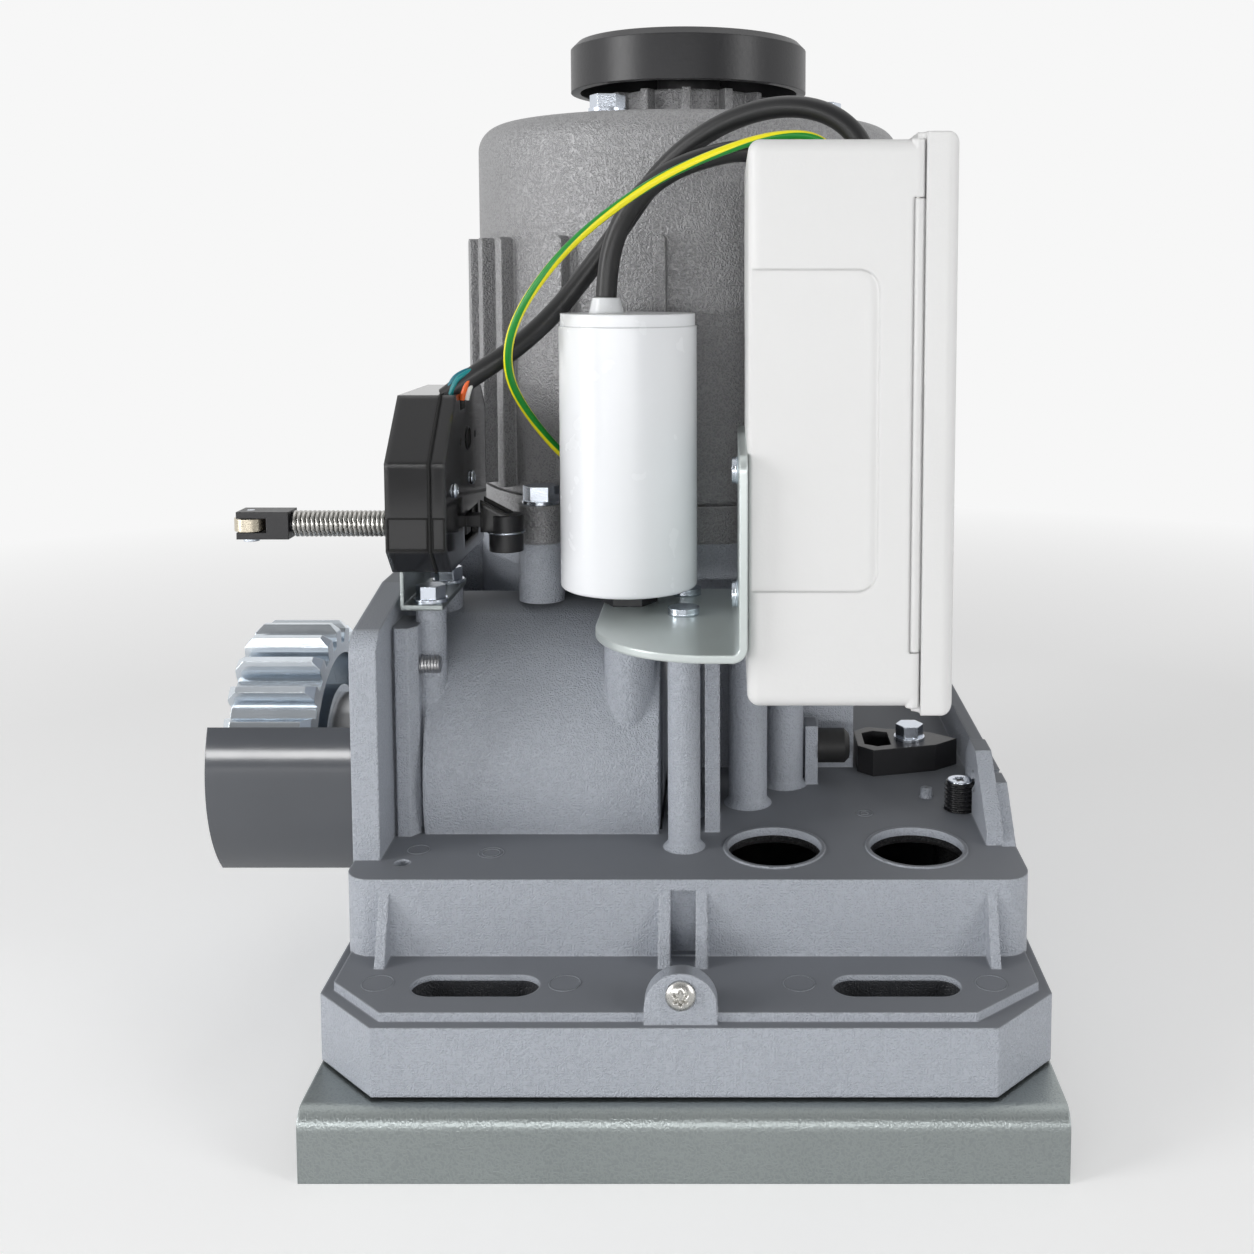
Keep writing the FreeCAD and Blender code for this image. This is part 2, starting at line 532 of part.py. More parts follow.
def gearbox_housing():
    solids, hollows = flange_and_block()
    shell = cut(fuse(*solids), *hollows)
    left, right = side_walls()
    axis = ("output_y", "output_z")
    drum = rod("X", axis, "drum_radius", ("drum_left", "drum_right"))
    neck = rod("X", axis, "neck_radius", ("wall_left", "drum_left + 1"))
    barrel = rod("Z", ("worm_x", "motor_y"), "barrel_radius", ("barrel_foot", "case_foot + 1"))
    case_reach = "spur_module * (spur_large_teeth / 2 + 1) + gear_room + case_wall"
    nose_reach = "spur_module * (spur_small_teeth / 2 + 1) + gear_room + case_wall"
    case = [rod("Z", ("worm_x", "motor_y"), case_reach, ("case_foot", "deck_foot + 1")),
            rod("Z", ("motor_x", "motor_y"), nose_reach, ("case_foot", "deck_foot + 1")),
            block(("worm_x", "motor_x"), (f"motor_y - ({nose_reach})", f"motor_y + {nose_reach}"),
                  ("case_foot", "deck_foot + 1"))]
    deck = rod("Z", ("motor_x", "motor_y"), "deck_radius", ("deck_foot", "deck_top"))
    ears = [rod("Z", ear_at(sx, sy), "ear_radius", ("deck_foot - ear_drop", "deck_top")) for sx, sy in ear_places()]
    props = [upright("motor_x - 62", "motor_y + 50", "prop_radius", "deck_foot + 1"),
             upright("motor_x + 62", "motor_y + 50", "prop_radius", "deck_foot + 1"),
             upright("post_x", "post_y", "prop_radius", "deck_foot + 1")]
    webs = [block(("wall_inner - 1", "motor_x"), ("motor_y - 4", "motor_y + 4"), ("shelf_top - 1", "deck_foot + 1")),
            block(("rear_wall_left", "rear_wall_right"), ("rear_wall_y", "rear_wall_y + rear_wall_thick"),
                  ("shelf_top - 1", "deck_foot + 1"))]
    columns = [upright("column_x", "column_y", "column_radius", "bracket_seat"),
               upright("column_x", "column_back_y", "column_radius", "bracket_seat"),
               upright("prop_x", "prop_y", "prop_radius", "box_foot"),
               rod("Z", ("boss_x", "boss_y"), "boss_radius", ("output_z", "bracket_seat")),
               rod("Z", ("limit_boss_x", "limit_boss_y"), "limit_boss_radius", ("shelf_top - 1", "bracket_seat")),
               rod("Z", ("limit_boss_x", "limit_boss_back"), "limit_boss_radius", ("output_z", "bracket_seat")),
               block(("rib_x - rib_wide / 2", "rib_x + rib_wide / 2"), ("rib_front", "rib_front + rib_deep"),
                     ("shelf_top - 1", "bracket_seat - 2"))]
    stop = block(("buffer_plate_x", "buffer_plate_x + buffer_plate_thick"),
                 ("buffer_y - buffer_plate_deep / 2", "buffer_y + buffer_plate_deep / 2"),
                 ("shelf_top - 1", "shelf_top + buffer_plate_high"))
    rims = [rod("Z", (f"cable_hole_x + {i} * cable_hole_gap", "cable_hole_y"),
                "cable_hole_radius + cable_rim", ("shelf_top - 1", "shelf_top + 0.6")) for i in (0, 1)]
    slot_bosses = [slot_bar(sx, sy, "slot_wide / 2 + slot_rim", ("casting_foot", "plateau_top - 1"))
                   for sx, sy in ear_places()]
    level_bosses = [rod("Z", place, "level_radius + 4", ("casting_foot + 1", "shelf_top - 1")) for place in LEVEL_PLACES]
    solid = fuse(shell, left, right, drum, neck, barrel, *case, deck, *ears, *props, *webs, *columns, stop, *rims,
                 *slot_bosses, *level_bosses, *front_ribs(), name="casting_solid")

    gear_top, nose_top = f"{case_reach} - case_wall", f"{nose_reach} - case_wall"
    case_in = ("case_foot + case_floor", "deck_top + 1")
    tools = [rod("X", axis, "bore_radius", ("drum_inner_left", "drum_right + 1")),
             rod("X", axis, "output_bearing_outer", ("drum_inner_left - output_bearing_wide", "drum_inner_left + 1")),
             rod("X", axis, "seal_outer", ("wall_left - 1", "drum_inner_left - output_bearing_wide + 1")),
             rod("Z", ("worm_x", "motor_y"), "barrel_radius - barrel_wall",
                 ("barrel_foot + shelf_wall + worm_bearing_high", "output_z + worm_long / 2")),
             rod("Z", ("worm_x", "motor_y"), "worm_bearing_outer",
                 ("barrel_foot + shelf_wall", "case_foot + case_floor + 1")),
             rod("Z", ("worm_x", "motor_y"), gear_top, case_in),
             rod("Z", ("motor_x", "motor_y"), nose_top, case_in),
             block(("worm_x", "motor_x"), (f"motor_y - ({nose_top})", f"motor_y + {nose_top}"), case_in)]
    tools += [slot_bar(sx, sy, "slot_wide / 2", ("casting_foot - 1", "plateau_top + 1")) for sx, sy in ear_places()]
    tools += [rod("Z", (f"cable_hole_x + {i} * cable_hole_gap", "cable_hole_y"), "cable_hole_radius",
                  ("casting_foot", "shelf_top + 2")) for i in (0, 1)]
    tools += [rod("Z", place, "level_radius", ("casting_foot - 1", "shelf_top + level_out + 1")) for place in LEVEL_PLACES]
    tools += [rod("Z", ear_at(sx, sy), "bolt_radius", ("deck_foot - ear_drop + 2", "deck_top + 1")) for sx, sy in ear_places()]
    tools.append(block(("-5.8", "2.8"), ("-block_deep / 2 - 1", "-block_deep / 2 + 3"), ("plateau_top + 0.5", "shelf_top - 4")))
    tools += [rod("Z", ("-100.3", "-113"), "2.75", ("shelf_top - shelf_wall - 1", "shelf_top + 1")),
              rod("Y", ("lug_x", "plateau_top + lug_high / 2"), "2.5", ("lug_front - 1", "lug_front + lug_thick + 1"))]
    tapped = [("column_x", "column_y"), ("column_x", "column_back_y"), ("limit_boss_x", "limit_boss_y"),
              ("limit_boss_x", "limit_boss_back")]
    tools += [rod("Z", place, "screw_radius", ("bracket_seat - 10", "bracket_seat + 1")) for place in tapped]
    tools += [rod("Z", ("can_x", "can_y"), "bolt_radius", ("bracket_seat - 8", "bracket_seat + 1")),
              rod("Z", ("clamp_bolt_x", "clamp_bolt_y"), "screw_radius", ("shelf_top - shelf_wall - 1", "shelf_top + 1"))]
    keep(cut(solid, *tools), "gearbox_housing")


def wheel_cover():
    axis = ("output_y", "output_z")
    disc = rod("X", axis, "bore_radius - fit_gap", ("drum_right - cover_thick", "drum_right"))
    seat = rod("X", axis, "bearing_outer + 5", ("drum_right - bearing_high - 4", "drum_right - 1"))
    room = rod("X", axis, "bearing_outer", ("drum_right - bearing_high - 5", "drum_right - 3"))
    keep(cut(fuse(disc, seat), room), "wheel_cover")


# ---------------------------------------------------------------- gears
def involute_half(base, radius):
    """Polar angle that an involute from the base circle has turned at a radius."""
    if radius <= base:
        return 0.0
    roll = math.sqrt((radius / base) ** 2 - 1)
    return roll - math.atan(roll)


def gear_wire(module, teeth, play, height, turn=0.0, foot=1.25, tip=1.0, steps=4):
    """A spur gear's outline: straight roots and tips, flanks on the 20 degree involute."""
    pitch, base = module * teeth / 2, module * teeth / 2 * math.cos(math.radians(20))
    root, outer = pitch - foot * module, pitch + tip * module
    half_pitch = (math.pi * module / 2 - play) / 2 / pitch + involute_half(base, pitch)
    low = max(base, root)
    flank = [(low + (outer - low) * i / steps) for i in range(steps + 1)]
    corners = []
    for tooth in range(teeth):
        mid = 2 * math.pi * tooth / teeth + turn
        left = [(root, mid - half_pitch)] if low > root else []
        left += [(r, mid - half_pitch + involute_half(base, r)) for r in flank]
        right = [(r, 2 * mid - angle) for r, angle in reversed(left)]
        corners += left + right
    points = [V(r * math.cos(angle), r * math.sin(angle), height) for r, angle in corners]
    return Part.makePolygon(points + [points[0]])


def spur_gear(module, teeth, play, wide, turn=0.0):
    """A straight-toothed gear blank standing on z = 0."""
    return Part.Face(gear_wire(module, teeth, play, 0, turn)).extrude(V(0, 0, wide))


def feature(label, shape, placement):
    item = doc.addObject("Part::Feature", label)
    item.Shape = shape
    item.Placement = placement
    return keep(item, label)


def at(x, y, z, axis="Z"):
    return FreeCAD.Placement(V(x, y, z), TURN[axis])


def rack_pinion():
    """Module 4 rack pinion: bevelled tooth ends, thin web, keyed hub, counterbored for its bolt."""
    module, teeth, wide = size("pinion_module"), int(size("pinion_teeth")), size("pinion_face")
    outer, bevel = module * (teeth / 2 + 1), size("pinion_bevel")
    blank = spur_gear(module, teeth, size("tooth_play"), wide)
    hull = Part.makeCone(outer - bevel, outer, bevel).fuse(
        Part.makeCylinder(outer, wide - 2 * bevel, V(0, 0, bevel))).fuse(
        Part.makeCone(outer, outer - bevel, bevel, V(0, 0, wide - bevel)))
    web, rim, hub = size("pinion_web"), size("pinion_rim_radius"), size("pinion_hub_radius")
    deep = (wide - web) / 2
    ring = Part.makeCylinder(rim, deep).cut(Part.makeCylinder(hub, deep))
    bore = Part.makeCylinder(size("output_radius"), wide)
    bore = bore.fuse(Part.makeCylinder(hub + 0.5, size("bolt_recess")))
    key = Part.makeBox(size("key_wide"), size("output_radius") + size("key_rise"), wide, V(-size("key_wide") / 2, 0, 0))
    shape = blank.common(hull).cut(ring.fuse(ring.translated(V(0, 0, wide - deep))))
    shape = shape.cut(bore.fuse(key)).removeSplitter()
    feature("rack_pinion", shape, at(size("pinion_left"), size("output_y"), size("output_z"), "X"))


def worm_wheel():
    """Bronze wheel, its teeth leaning by the worm's lead angle so that the thread lies in them."""
    module, teeth, wide = size("worm_module"), int(size("wheel_teeth")), size("wheel_face")
    lead = module / (2 * size("worm_pitch_radius"))
    lean = lead * wide / 2 / size("wheel_pitch_radius")
    phase = math.pi / 2 + math.pi / teeth
    wires = [gear_wire(module, teeth, size("wheel_play"), height, phase + side * lean, 1.2, 0.85)
             for side, height in ((1, 0), (-1, wide))]
    blank = Part.makeLoft(wires, True, True)
    bore = Part.makeCylinder(size("output_radius") + 4, wide)
    deep = (wide - size("web_thick")) / 2
    ring = Part.makeCylinder(size("web_outer"), deep).cut(Part.makeCylinder(size("web_inner"), deep))
    shape = blank.cut(bore.fuse([ring, ring.translated(V(0, 0, wide - deep))]))
    feature("worm_wheel", shape, at(size("worm_x") - wide / 2, size("output_y"), size("output_z"), "X"))


def worm():
    """Single-start right-hand worm, its thread swept along a helix, on a stepped shaft."""
    module, pitch_radius, long = size("worm_module"), size("worm_pitch_radius"), size("worm_long")
    step = math.pi * module
    root, outer = pitch_radius - 1.2 * module, pitch_radius + 0.85 * module
    half = (step / 2 - size("tooth_play")) / 2
    slope = math.tan(math.radians(20))
    sink = 0.6
    turns = long / step - 1
    profile = [(root - sink, -half - slope * (pitch_radius - root + sink)), (outer, -half + slope * (outer - pitch_radius)),
               (outer, half - slope * (outer - pitch_radius)), (root - sink, half + slope * (pitch_radius - root + sink))]
    points = [V(r, 0, z) for r, z in profile]
    start = -turns * step / 2
    helix = Part.makeHelix(step, turns * step, pitch_radius)
    thread = Part.Wire(helix).makePipeShell([Part.makePolygon(points + [points[0]])], True, True)
    thread.translate(V(0, 0, start))
    # the thread crosses the plane of the wheel's middle on the wheel's side, half a turn from +X
    thread.rotate(V(), V(0, 0, 1), -90 - 360 * turns / 2)
    core = Part.makeCylinder(root, long, V(0, 0, -long / 2))
    return core.fuse(thread)


def worm_shaft():
    shape = worm()
    half, gear_z = size("worm_long") / 2, size("case_foot") + size("case_floor") + 3 - size("output_z")
    low = size("barrel_foot") + size("shelf_wall") - size("output_z")
    top = gear_z + size("spur_face") + 4
    shaft = Part.makeCylinder(size("worm_shaft_radius"), top - low, V(0, 0, low))
    seat = size("case_foot") + size("case_floor") - size("worm_bearing_high") - size("output_z")
    collar = Part.makeCylinder(size("worm_shaft_radius") + 3, seat + half - 0.8, V(0, 0, -half + 0.4))
    feature("worm_shaft", shape.fuse([shaft, collar]), at(size("worm_x"), size("motor_y"), size("output_z")))
    gear = spur_gear(size("spur_module"), int(size("spur_large_teeth")), size("tooth_play") / 2, size("spur_face"))
    gear = gear.cut(Part.makeCylinder(size("worm_shaft_radius"), size("spur_face")))
    feature("worm_gear", gear, at(size("worm_x"), size("motor_y"), gear_z + size("output_z")))


def motor_pinion():
    teeth = int(size("spur_small_teeth"))
    turn = math.pi + math.pi / teeth
    gear = spur_gear(size("spur_module"), teeth, size("tooth_play") / 2, size("spur_face") + 3, turn)
    gear = gear.cut(Part.makeCylinder(size("shaft_radius") - 2, size("spur_face") + 3))
    z = size("case_foot") + size("case_floor") + 1.5
    feature("motor_pinion", gear, at(size("motor_x"), size("motor_y"), z))


# ---------------------------------------------------------------- output train
def bearing(axis, place, inner, outer, span):
    """A shielded ball bearing: it fits its bore, and its shaft runs in it."""
    ring = cut(rod(axis, place, f"{outer} - fit_gap", span), rod(axis, place, f"{inner} + fit_gap", span))
    mean, wide = f"(({inner}) + ({outer})) / 2", f"(({outer}) - ({inner})) / 6"
    rims = [cut(rod(axis, place, f"{mean} + {wide}", (edge, f"{edge} + 0.6")),
                rod(axis, place, f"{mean} - ({wide})", (edge, f"{edge} + 0.6")))
            for edge in (span[0], f"({span[1]}) - 0.6")]
    return cut(ring, *rims)


def output_train():
    axis = ("output_y", "output_z")
    left = "drum_inner_left - output_bearing_wide"
    keep(group(bearing("X", axis, "output_radius", "output_bearing_outer", (left, "drum_inner_left")),
               bearing("X", axis, "tail_radius", "bearing_outer", ("drum_right - bearing_high - 3", "drum_right - 3"))),
         "output_bearings")
    upright_axis = ("worm_x", "motor_y")
    spans = [("barrel_foot + shelf_wall", "barrel_foot + shelf_wall + worm_bearing_high"),
             ("case_foot + case_floor - worm_bearing_high", "case_foot + case_floor")]
    keep(group(*[bearing("Z", upright_axis, "worm_shaft_radius", "worm_bearing_outer", span) for span in spans]),
         "worm_bearings")
    seal = cut(rod("X", axis, "seal_outer - fit_gap", (f"{left} - seal_wide", left)),
               rod("X", axis, "output_radius + 0.3", (f"{left} - seal_wide", left)))
    keep(seal, "shaft_seal")
    sleeve_left = "drum_inner_left + 1.2"
    shaft = fuse(rod("X", axis, "output_radius", ("pinion_left + bolt_recess + 0.2", "worm_x")),
                 rod("X", axis, "output_radius + 4", (sleeve_left, "worm_x + wheel_face / 2 + 3")),
                 rod("X", axis, "tail_radius", ("worm_x", "drum_right - 3.4")),
                 rod("X", axis, "output_radius + 4", ("pinion_right", "wall_left - 4")))
    key_span = ("pinion_left + bolt_recess + 3", "pinion_right - 4")
    key_place = (key_span, ("output_y + output_radius - 4", "output_y + output_radius + key_rise - 0.2"),
                 ("output_z - key_wide / 2", "output_z + key_wide / 2"))
    keep(cut(shaft, block(*key_place)), "output_shaft")
    keep(block(*key_place), "pinion_key")
    washer = rod("X", axis, "pinion_hub_radius - 2", ("pinion_left + bolt_recess - 3", "pinion_left + bolt_recess"))
    head = hexagon("X", axis, "16", ("pinion_left - 2.5", "pinion_left + bolt_recess - 3"))
    keep(fuse(washer, head), "pinion_bolt")


# ---------------------------------------------------------------- motor
def motor():
    axis = ("motor_x", "motor_y")
    # lower flange with four ears
    flange = fuse(rod("Z", axis, "motor_radius", ("deck_top", "motor_foot - motor_groove")),
                  rod("Z", axis, "motor_radius - 2.5", ("deck_top", "motor_foot")),
                  *[rod("Z", ear_at(sx, sy), "ear_radius", ("deck_top", "motor_foot - motor_groove"))
                    for sx, sy in ear_places()])
    tools = [rod("Z", axis, "bearing_outer", ("deck_top + 1", "motor_foot + 1")),
             rod("Z", axis, "shaft_radius + 1", ("deck_top - 1", "motor_foot"))]
    tools += [rod("Z", ear_at(sx, sy), "bolt_radius + 0.3", ("deck_top - 1", "motor_foot + 1")) for sx, sy in ear_places()]
    keep(cut(flange, *tools), "motor_flange")

    # cup-shaped frame with fins and a ribbed hub
    cup = helper("motor_cup")
    cup.place("motor_x", "motor_y")
    cup.turned(polygon(("0", "motor_foot"), ("motor_radius", "motor_foot"), ("motor_radius", "motor_shoulder"),
                       ("tie_ring", "tie_seat"), ("hub_radius + 3", "motor_dome"), ("0", "motor_dome")))
    cup.soften("Fillet", "shoulder_round", lambda e: near(e.BoundBox.ZMax, "motor_shoulder")
               and near(e.BoundBox.ZMin, "motor_shoulder") and near(e.BoundBox.XLength, 2 * size("motor_radius"), 0.1))
    fins = []
    for degrees in FIN_ANGLES:
        turn = math.radians(degrees)
        lean = FreeCAD.Rotation(V(0, 0, 1), degrees)
        fin = block(("0", "motor_radius + fin_high"), ("0", "fin_thick"), ("fin_foot", "fin_top - fin_thick / 2"))
        fin.Placement = FreeCAD.Placement(V(), lean)
        put(fin, f"motor_x + fin_thick / 2 * {math.sin(turn):.6f}",
            f"motor_y - fin_thick / 2 * {math.cos(turn):.6f}", "fin_foot")
        crest = rod("X", axis, "fin_thick / 2", ("0", "motor_radius + fin_high"))
        crest.Placement = FreeCAD.Placement(V(), lean.multiply(TURN["X"]))
        put(crest, "motor_x", "motor_y", "fin_top - fin_thick / 2")
        fins += [fin, crest]
    hub = rod("Z", axis, "hub_radius", ("motor_dome - 2", "hub_top"))
    ribs = []
    for i in range(12):
        turn = 2 * math.pi * i / 12
        rib = block(("0", "hub_rib_out"), ("0", "hub_rib_thick"), ("motor_dome - 2", "hub_top"))
        rib.Placement = FreeCAD.Placement(V(), FreeCAD.Rotation(V(0, 0, 1), math.degrees(turn)))
        put(rib, f"motor_x + hub_rib_thick / 2 * {math.sin(turn):.6f}",
            f"motor_y - hub_rib_thick / 2 * {math.cos(turn):.6f}", "motor_dome - 2")
        ribs.append(rib)
    tools = [rod("Z", axis, "stator_outer", ("motor_foot - 1", "motor_shoulder - motor_wall")),
             rod("Z", axis, "bearing_outer", ("motor_shoulder - motor_wall - 1", "motor_shoulder - motor_wall + bearing_high")),
             rod("Z", axis, "shaft_radius + 1", ("motor_foot", "hub_top + 1"))]
    pads, spots = [], []
    for place in tie_places():
        pads.append(rod("Z", place, "8.6", ("motor_shoulder - 4", "tie_seat")))
        spots += [rod("Z", place, "8.6", ("tie_seat", "motor_dome + 1")),
                  rod("Z", place, "bolt_radius", ("motor_shoulder - 3", "tie_seat + 1"))]
    spots += [rod("Z", ear_at(sx, sy), "8.2", ("flange_top", "flange_top + 10")) for sx, sy in ear_places()]
    earth = ("earth_x", "earth_z")
    boss = rod("Y", earth, "5.4", ("earth_y + earth_head", "earth_y + 10"))
    spots.append(rod("Y", earth, "screw_radius", ("earth_y", "earth_y + 10.5")))
    keep(cut(fuse(cup.body, *fins, hub, *ribs, *pads, boss), *tools, *spots), "motor_frame")

    spans = [("deck_top + 1", "deck_top + 1 + bearing_high"),
             ("motor_shoulder - motor_wall", "motor_shoulder - motor_wall + bearing_high")]
    keep(group(*[bearing("Z", axis, "shaft_radius", "bearing_outer", span) for span in spans]), "motor_bearings")
    core = cut(rod("Z", axis, "stator_outer - fit_gap", ("stator_foot", "stator_top")),
               rod("Z", axis, "stator_inner", ("stator_foot", "stator_top")))
    keep(core, "stator_core")
    coils = [cut(rod("Z", axis, "stator_outer - 8", span), rod("Z", axis, "stator_inner + 6", span))
             for span in (("stator_foot - winding_high", "stator_foot"), ("stator_top", "stator_top + winding_high"))]
    keep(group(*coils), "stator_windings")
    rotor = cut(rod("Z", axis, "rotor_radius", ("stator_foot", "stator_top")),
                rod("Z", axis, "shaft_radius + 2", ("stator_foot", "stator_top")))
    keep(rotor, "rotor_core")
    shaft = fuse(rod("Z", axis, "shaft_radius - 2", ("case_foot + case_floor + 1.5", "deck_top")),
                 rod("Z", axis, "shaft_radius", ("deck_top - 8", "flywheel_foot + 12")),
                 rod("Z", axis, "shaft_radius + 2", ("deck_top + 1 + bearing_high + 0.6",
                                                     "motor_shoulder - motor_wall - 0.6")),
                 rod("Z", axis, "shaft_radius - 4", ("flywheel_foot", "flywheel_top - 2")))
    keep(shaft, "rotor_shaft")

    fly = Piece("flywheel").place("motor_x", "motor_y")
    fly.turned(polygon(("shaft_radius", "flywheel_foot + 0"), ("flywheel_hub", "flywheel_foot + 0"),
                       ("flywheel_hub", "flywheel_top - flywheel_wall - 3"),
                       ("flywheel_radius - flywheel_wall", "flywheel_top - flywheel_wall - 1"),
                       ("flywheel_radius - flywheel_wall", "flywheel_foot"), ("flywheel_radius", "flywheel_foot"),
                       ("flywheel_radius", "flywheel_top - 3"), ("flywheel_radius - 3", "flywheel_top"),
                       ("flywheel_hub", "flywheel_top"), ("flywheel_hub", "flywheel_top - 4"),
                       ("shaft_radius - 4", "flywheel_top - 4"), ("shaft_radius - 4", "flywheel_foot + 12"),
                       ("shaft_radius", "flywheel_foot + 12")))
    nut = cut(hexagon("Z", axis, "17", ("flywheel_top - 4", "flywheel_top - 0.5")),
              rod("Z", axis, "shaft_radius - 4", ("flywheel_top - 5", "flywheel_top")))
    keep(nut, "flywheel_nut")

    bolts = []
    for sx, sy in ear_places():
        place = ear_at(sx, sy)
        bolts.append(fuse(rod("Z", place, "bolt_radius", ("deck_foot - ear_drop + 2", "flange_top + 1")),
                          rod("Z", place, "7.5", ("flange_top", "flange_top + 1.5")),
                          hexagon("Z", place, "12.5", ("flange_top + 1.5", "flange_top + 7.2"))))
    keep(group(*bolts), "motor_bolts")
    ties = []
    for place in tie_places():
        ties.append(fuse(rod("Z", place, "7.8", ("tie_seat", "tie_seat + 1.6")),
                         hexagon("Z", place, "12.5", ("tie_seat + 1.6", "tie_seat + 7")),
                         rod("Z", place, "bolt_radius", ("motor_shoulder - 3", "tie_seat + 1"))))
    keep(group(*ties), "tie_bolts")


def tie_places():
    """Where the long bolts come through the motor's top."""
    turns = [math.radians(TIE_ANGLE + 90 * i) for i in range(4)]
    return [(f"motor_x + tie_ring * {math.cos(turn):.6f}", f"motor_y + tie_ring * {math.sin(turn):.6f}") for turn in turns]


FIN_ANGLES = (200, 210, 220, 240, 265, 300, 320, 330, 340, 20, 30, 40, 60, 85, 120, 140, 150, 160)
TIE_ANGLE = 241.8


# ---------------------------------------------------------------- shelf fittings
def shelf_fittings():
    screws = [rod("Z", place, "level_radius - fit_gap", ("base_high", "shelf_top + level_out")) for place in LEVEL_PLACES]
    keep(group(*screws), "levelling_screws")
    body = rod("X", ("buffer_y", "buffer_z"), "buffer_radius",
               ("buffer_plate_x + buffer_plate_thick", "buffer_plate_x + buffer_plate_thick + buffer_long - 2"))
    nose = cone("X", ("buffer_y", "buffer_z"), ("buffer_radius", "buffer_radius - 2"),
                ("buffer_plate_x + buffer_plate_thick + buffer_long - 2", "buffer_plate_x + buffer_plate_thick + buffer_long"))
    keep(fuse(body, nose), "buffer")
    clamp = Piece("cable_clamp")
    clamp.pad("XY", ("shelf_top", "shelf_top + clamp_high"), polygon(
        ("clamp_left", "clamp_front + 6"), ("clamp_left + 6", "clamp_front"), ("clamp_right - 10", "clamp_bolt_y - 8"),
        ("clamp_right", "clamp_bolt_y"), ("clamp_right - 10", "clamp_bolt_y + 8"), ("clamp_left + 6", "clamp_back"),
        ("clamp_left", "clamp_back - 6")))
    clamp.pocket("XY", ("shelf_top + 4", "shelf_top + clamp_high"), polygon(
        ("clamp_left + 3", "clamp_front + 8"), ("clamp_left + 8", "clamp_front + 5"), ("clamp_left + 14", "clamp_bolt_y - 8"),
        ("clamp_left + 14", "clamp_bolt_y + 8"), ("clamp_left + 8", "clamp_back - 5"), ("clamp_left + 3", "clamp_back - 8")))
    clamp.pocket("XY", ("shelf_top", "shelf_top + clamp_high"), circle("clamp_bolt_x", "clamp_bolt_y", "screw_radius + 0.2"))
    place = ("clamp_bolt_x", "clamp_bolt_y")
    top = "shelf_top + clamp_high"
    keep(fuse(rod("Z", place, "6.4", (top, f"{top} + 1.4")), hexagon("Z", place, "10", (f"{top} + 1.4", f"{top} + 6.4")),
              rod("Z", place, "screw_radius", ("shelf_top - shelf_wall", f"{top} + 1"))), "clamp_bolt")
    place = ("lug_x", "plateau_top + lug_high / 2")
    head = cut(rod("Y", place, "4.8", ("lug_front - 2.8", "lug_front")), rod("Y", place, "1.9", ("lug_front - 3", "lug_front - 1.4")))
    keep(fuse(head, rod("Y", place, "2.4", ("lug_front", "lug_front + lug_thick + 6"))), "cover_screw")


# ---------------------------------------------------------------- pinion guard
def pinion_guard():
    guard = helper("guard_ring").place("guard_left", "output_y", "output_z", "X")
    wide = "wall_left - guard_left"
    guard.turned(rectangle(("guard_radius - guard_wall", "guard_radius"), ("0", wide)))
    whole = guard.body
    wedge = doc.addObject("Part::Cylinder", "guard_wedge")
    tie(wedge, "Radius", "guard_radius + 1")
    tie(wedge, "Height", f"{wide} + 2")
    tie(wedge, "Angle", "guard_up + guard_down")
    # local X points down and local Y to the rear, so the front of the arc is at -90 degrees
    wedge.Placement = FreeCAD.Placement(V(), TURN["X"].multiply(
        FreeCAD.Rotation(V(0, 0, 1), -90 - size("guard_up"))))
    put(wedge, "guard_left - 1", "output_y", "output_z")
    arc = doc.addObject("Part::MultiCommon", "guard_arc")
    arc.Shapes = [whole, wedge]
    keep(arc, "pinion_guard")


# ---------------------------------------------------------------- capacitor and its bracket
LEG_SCREWS = ("plate_top + 7.4", "leg_top - 12")


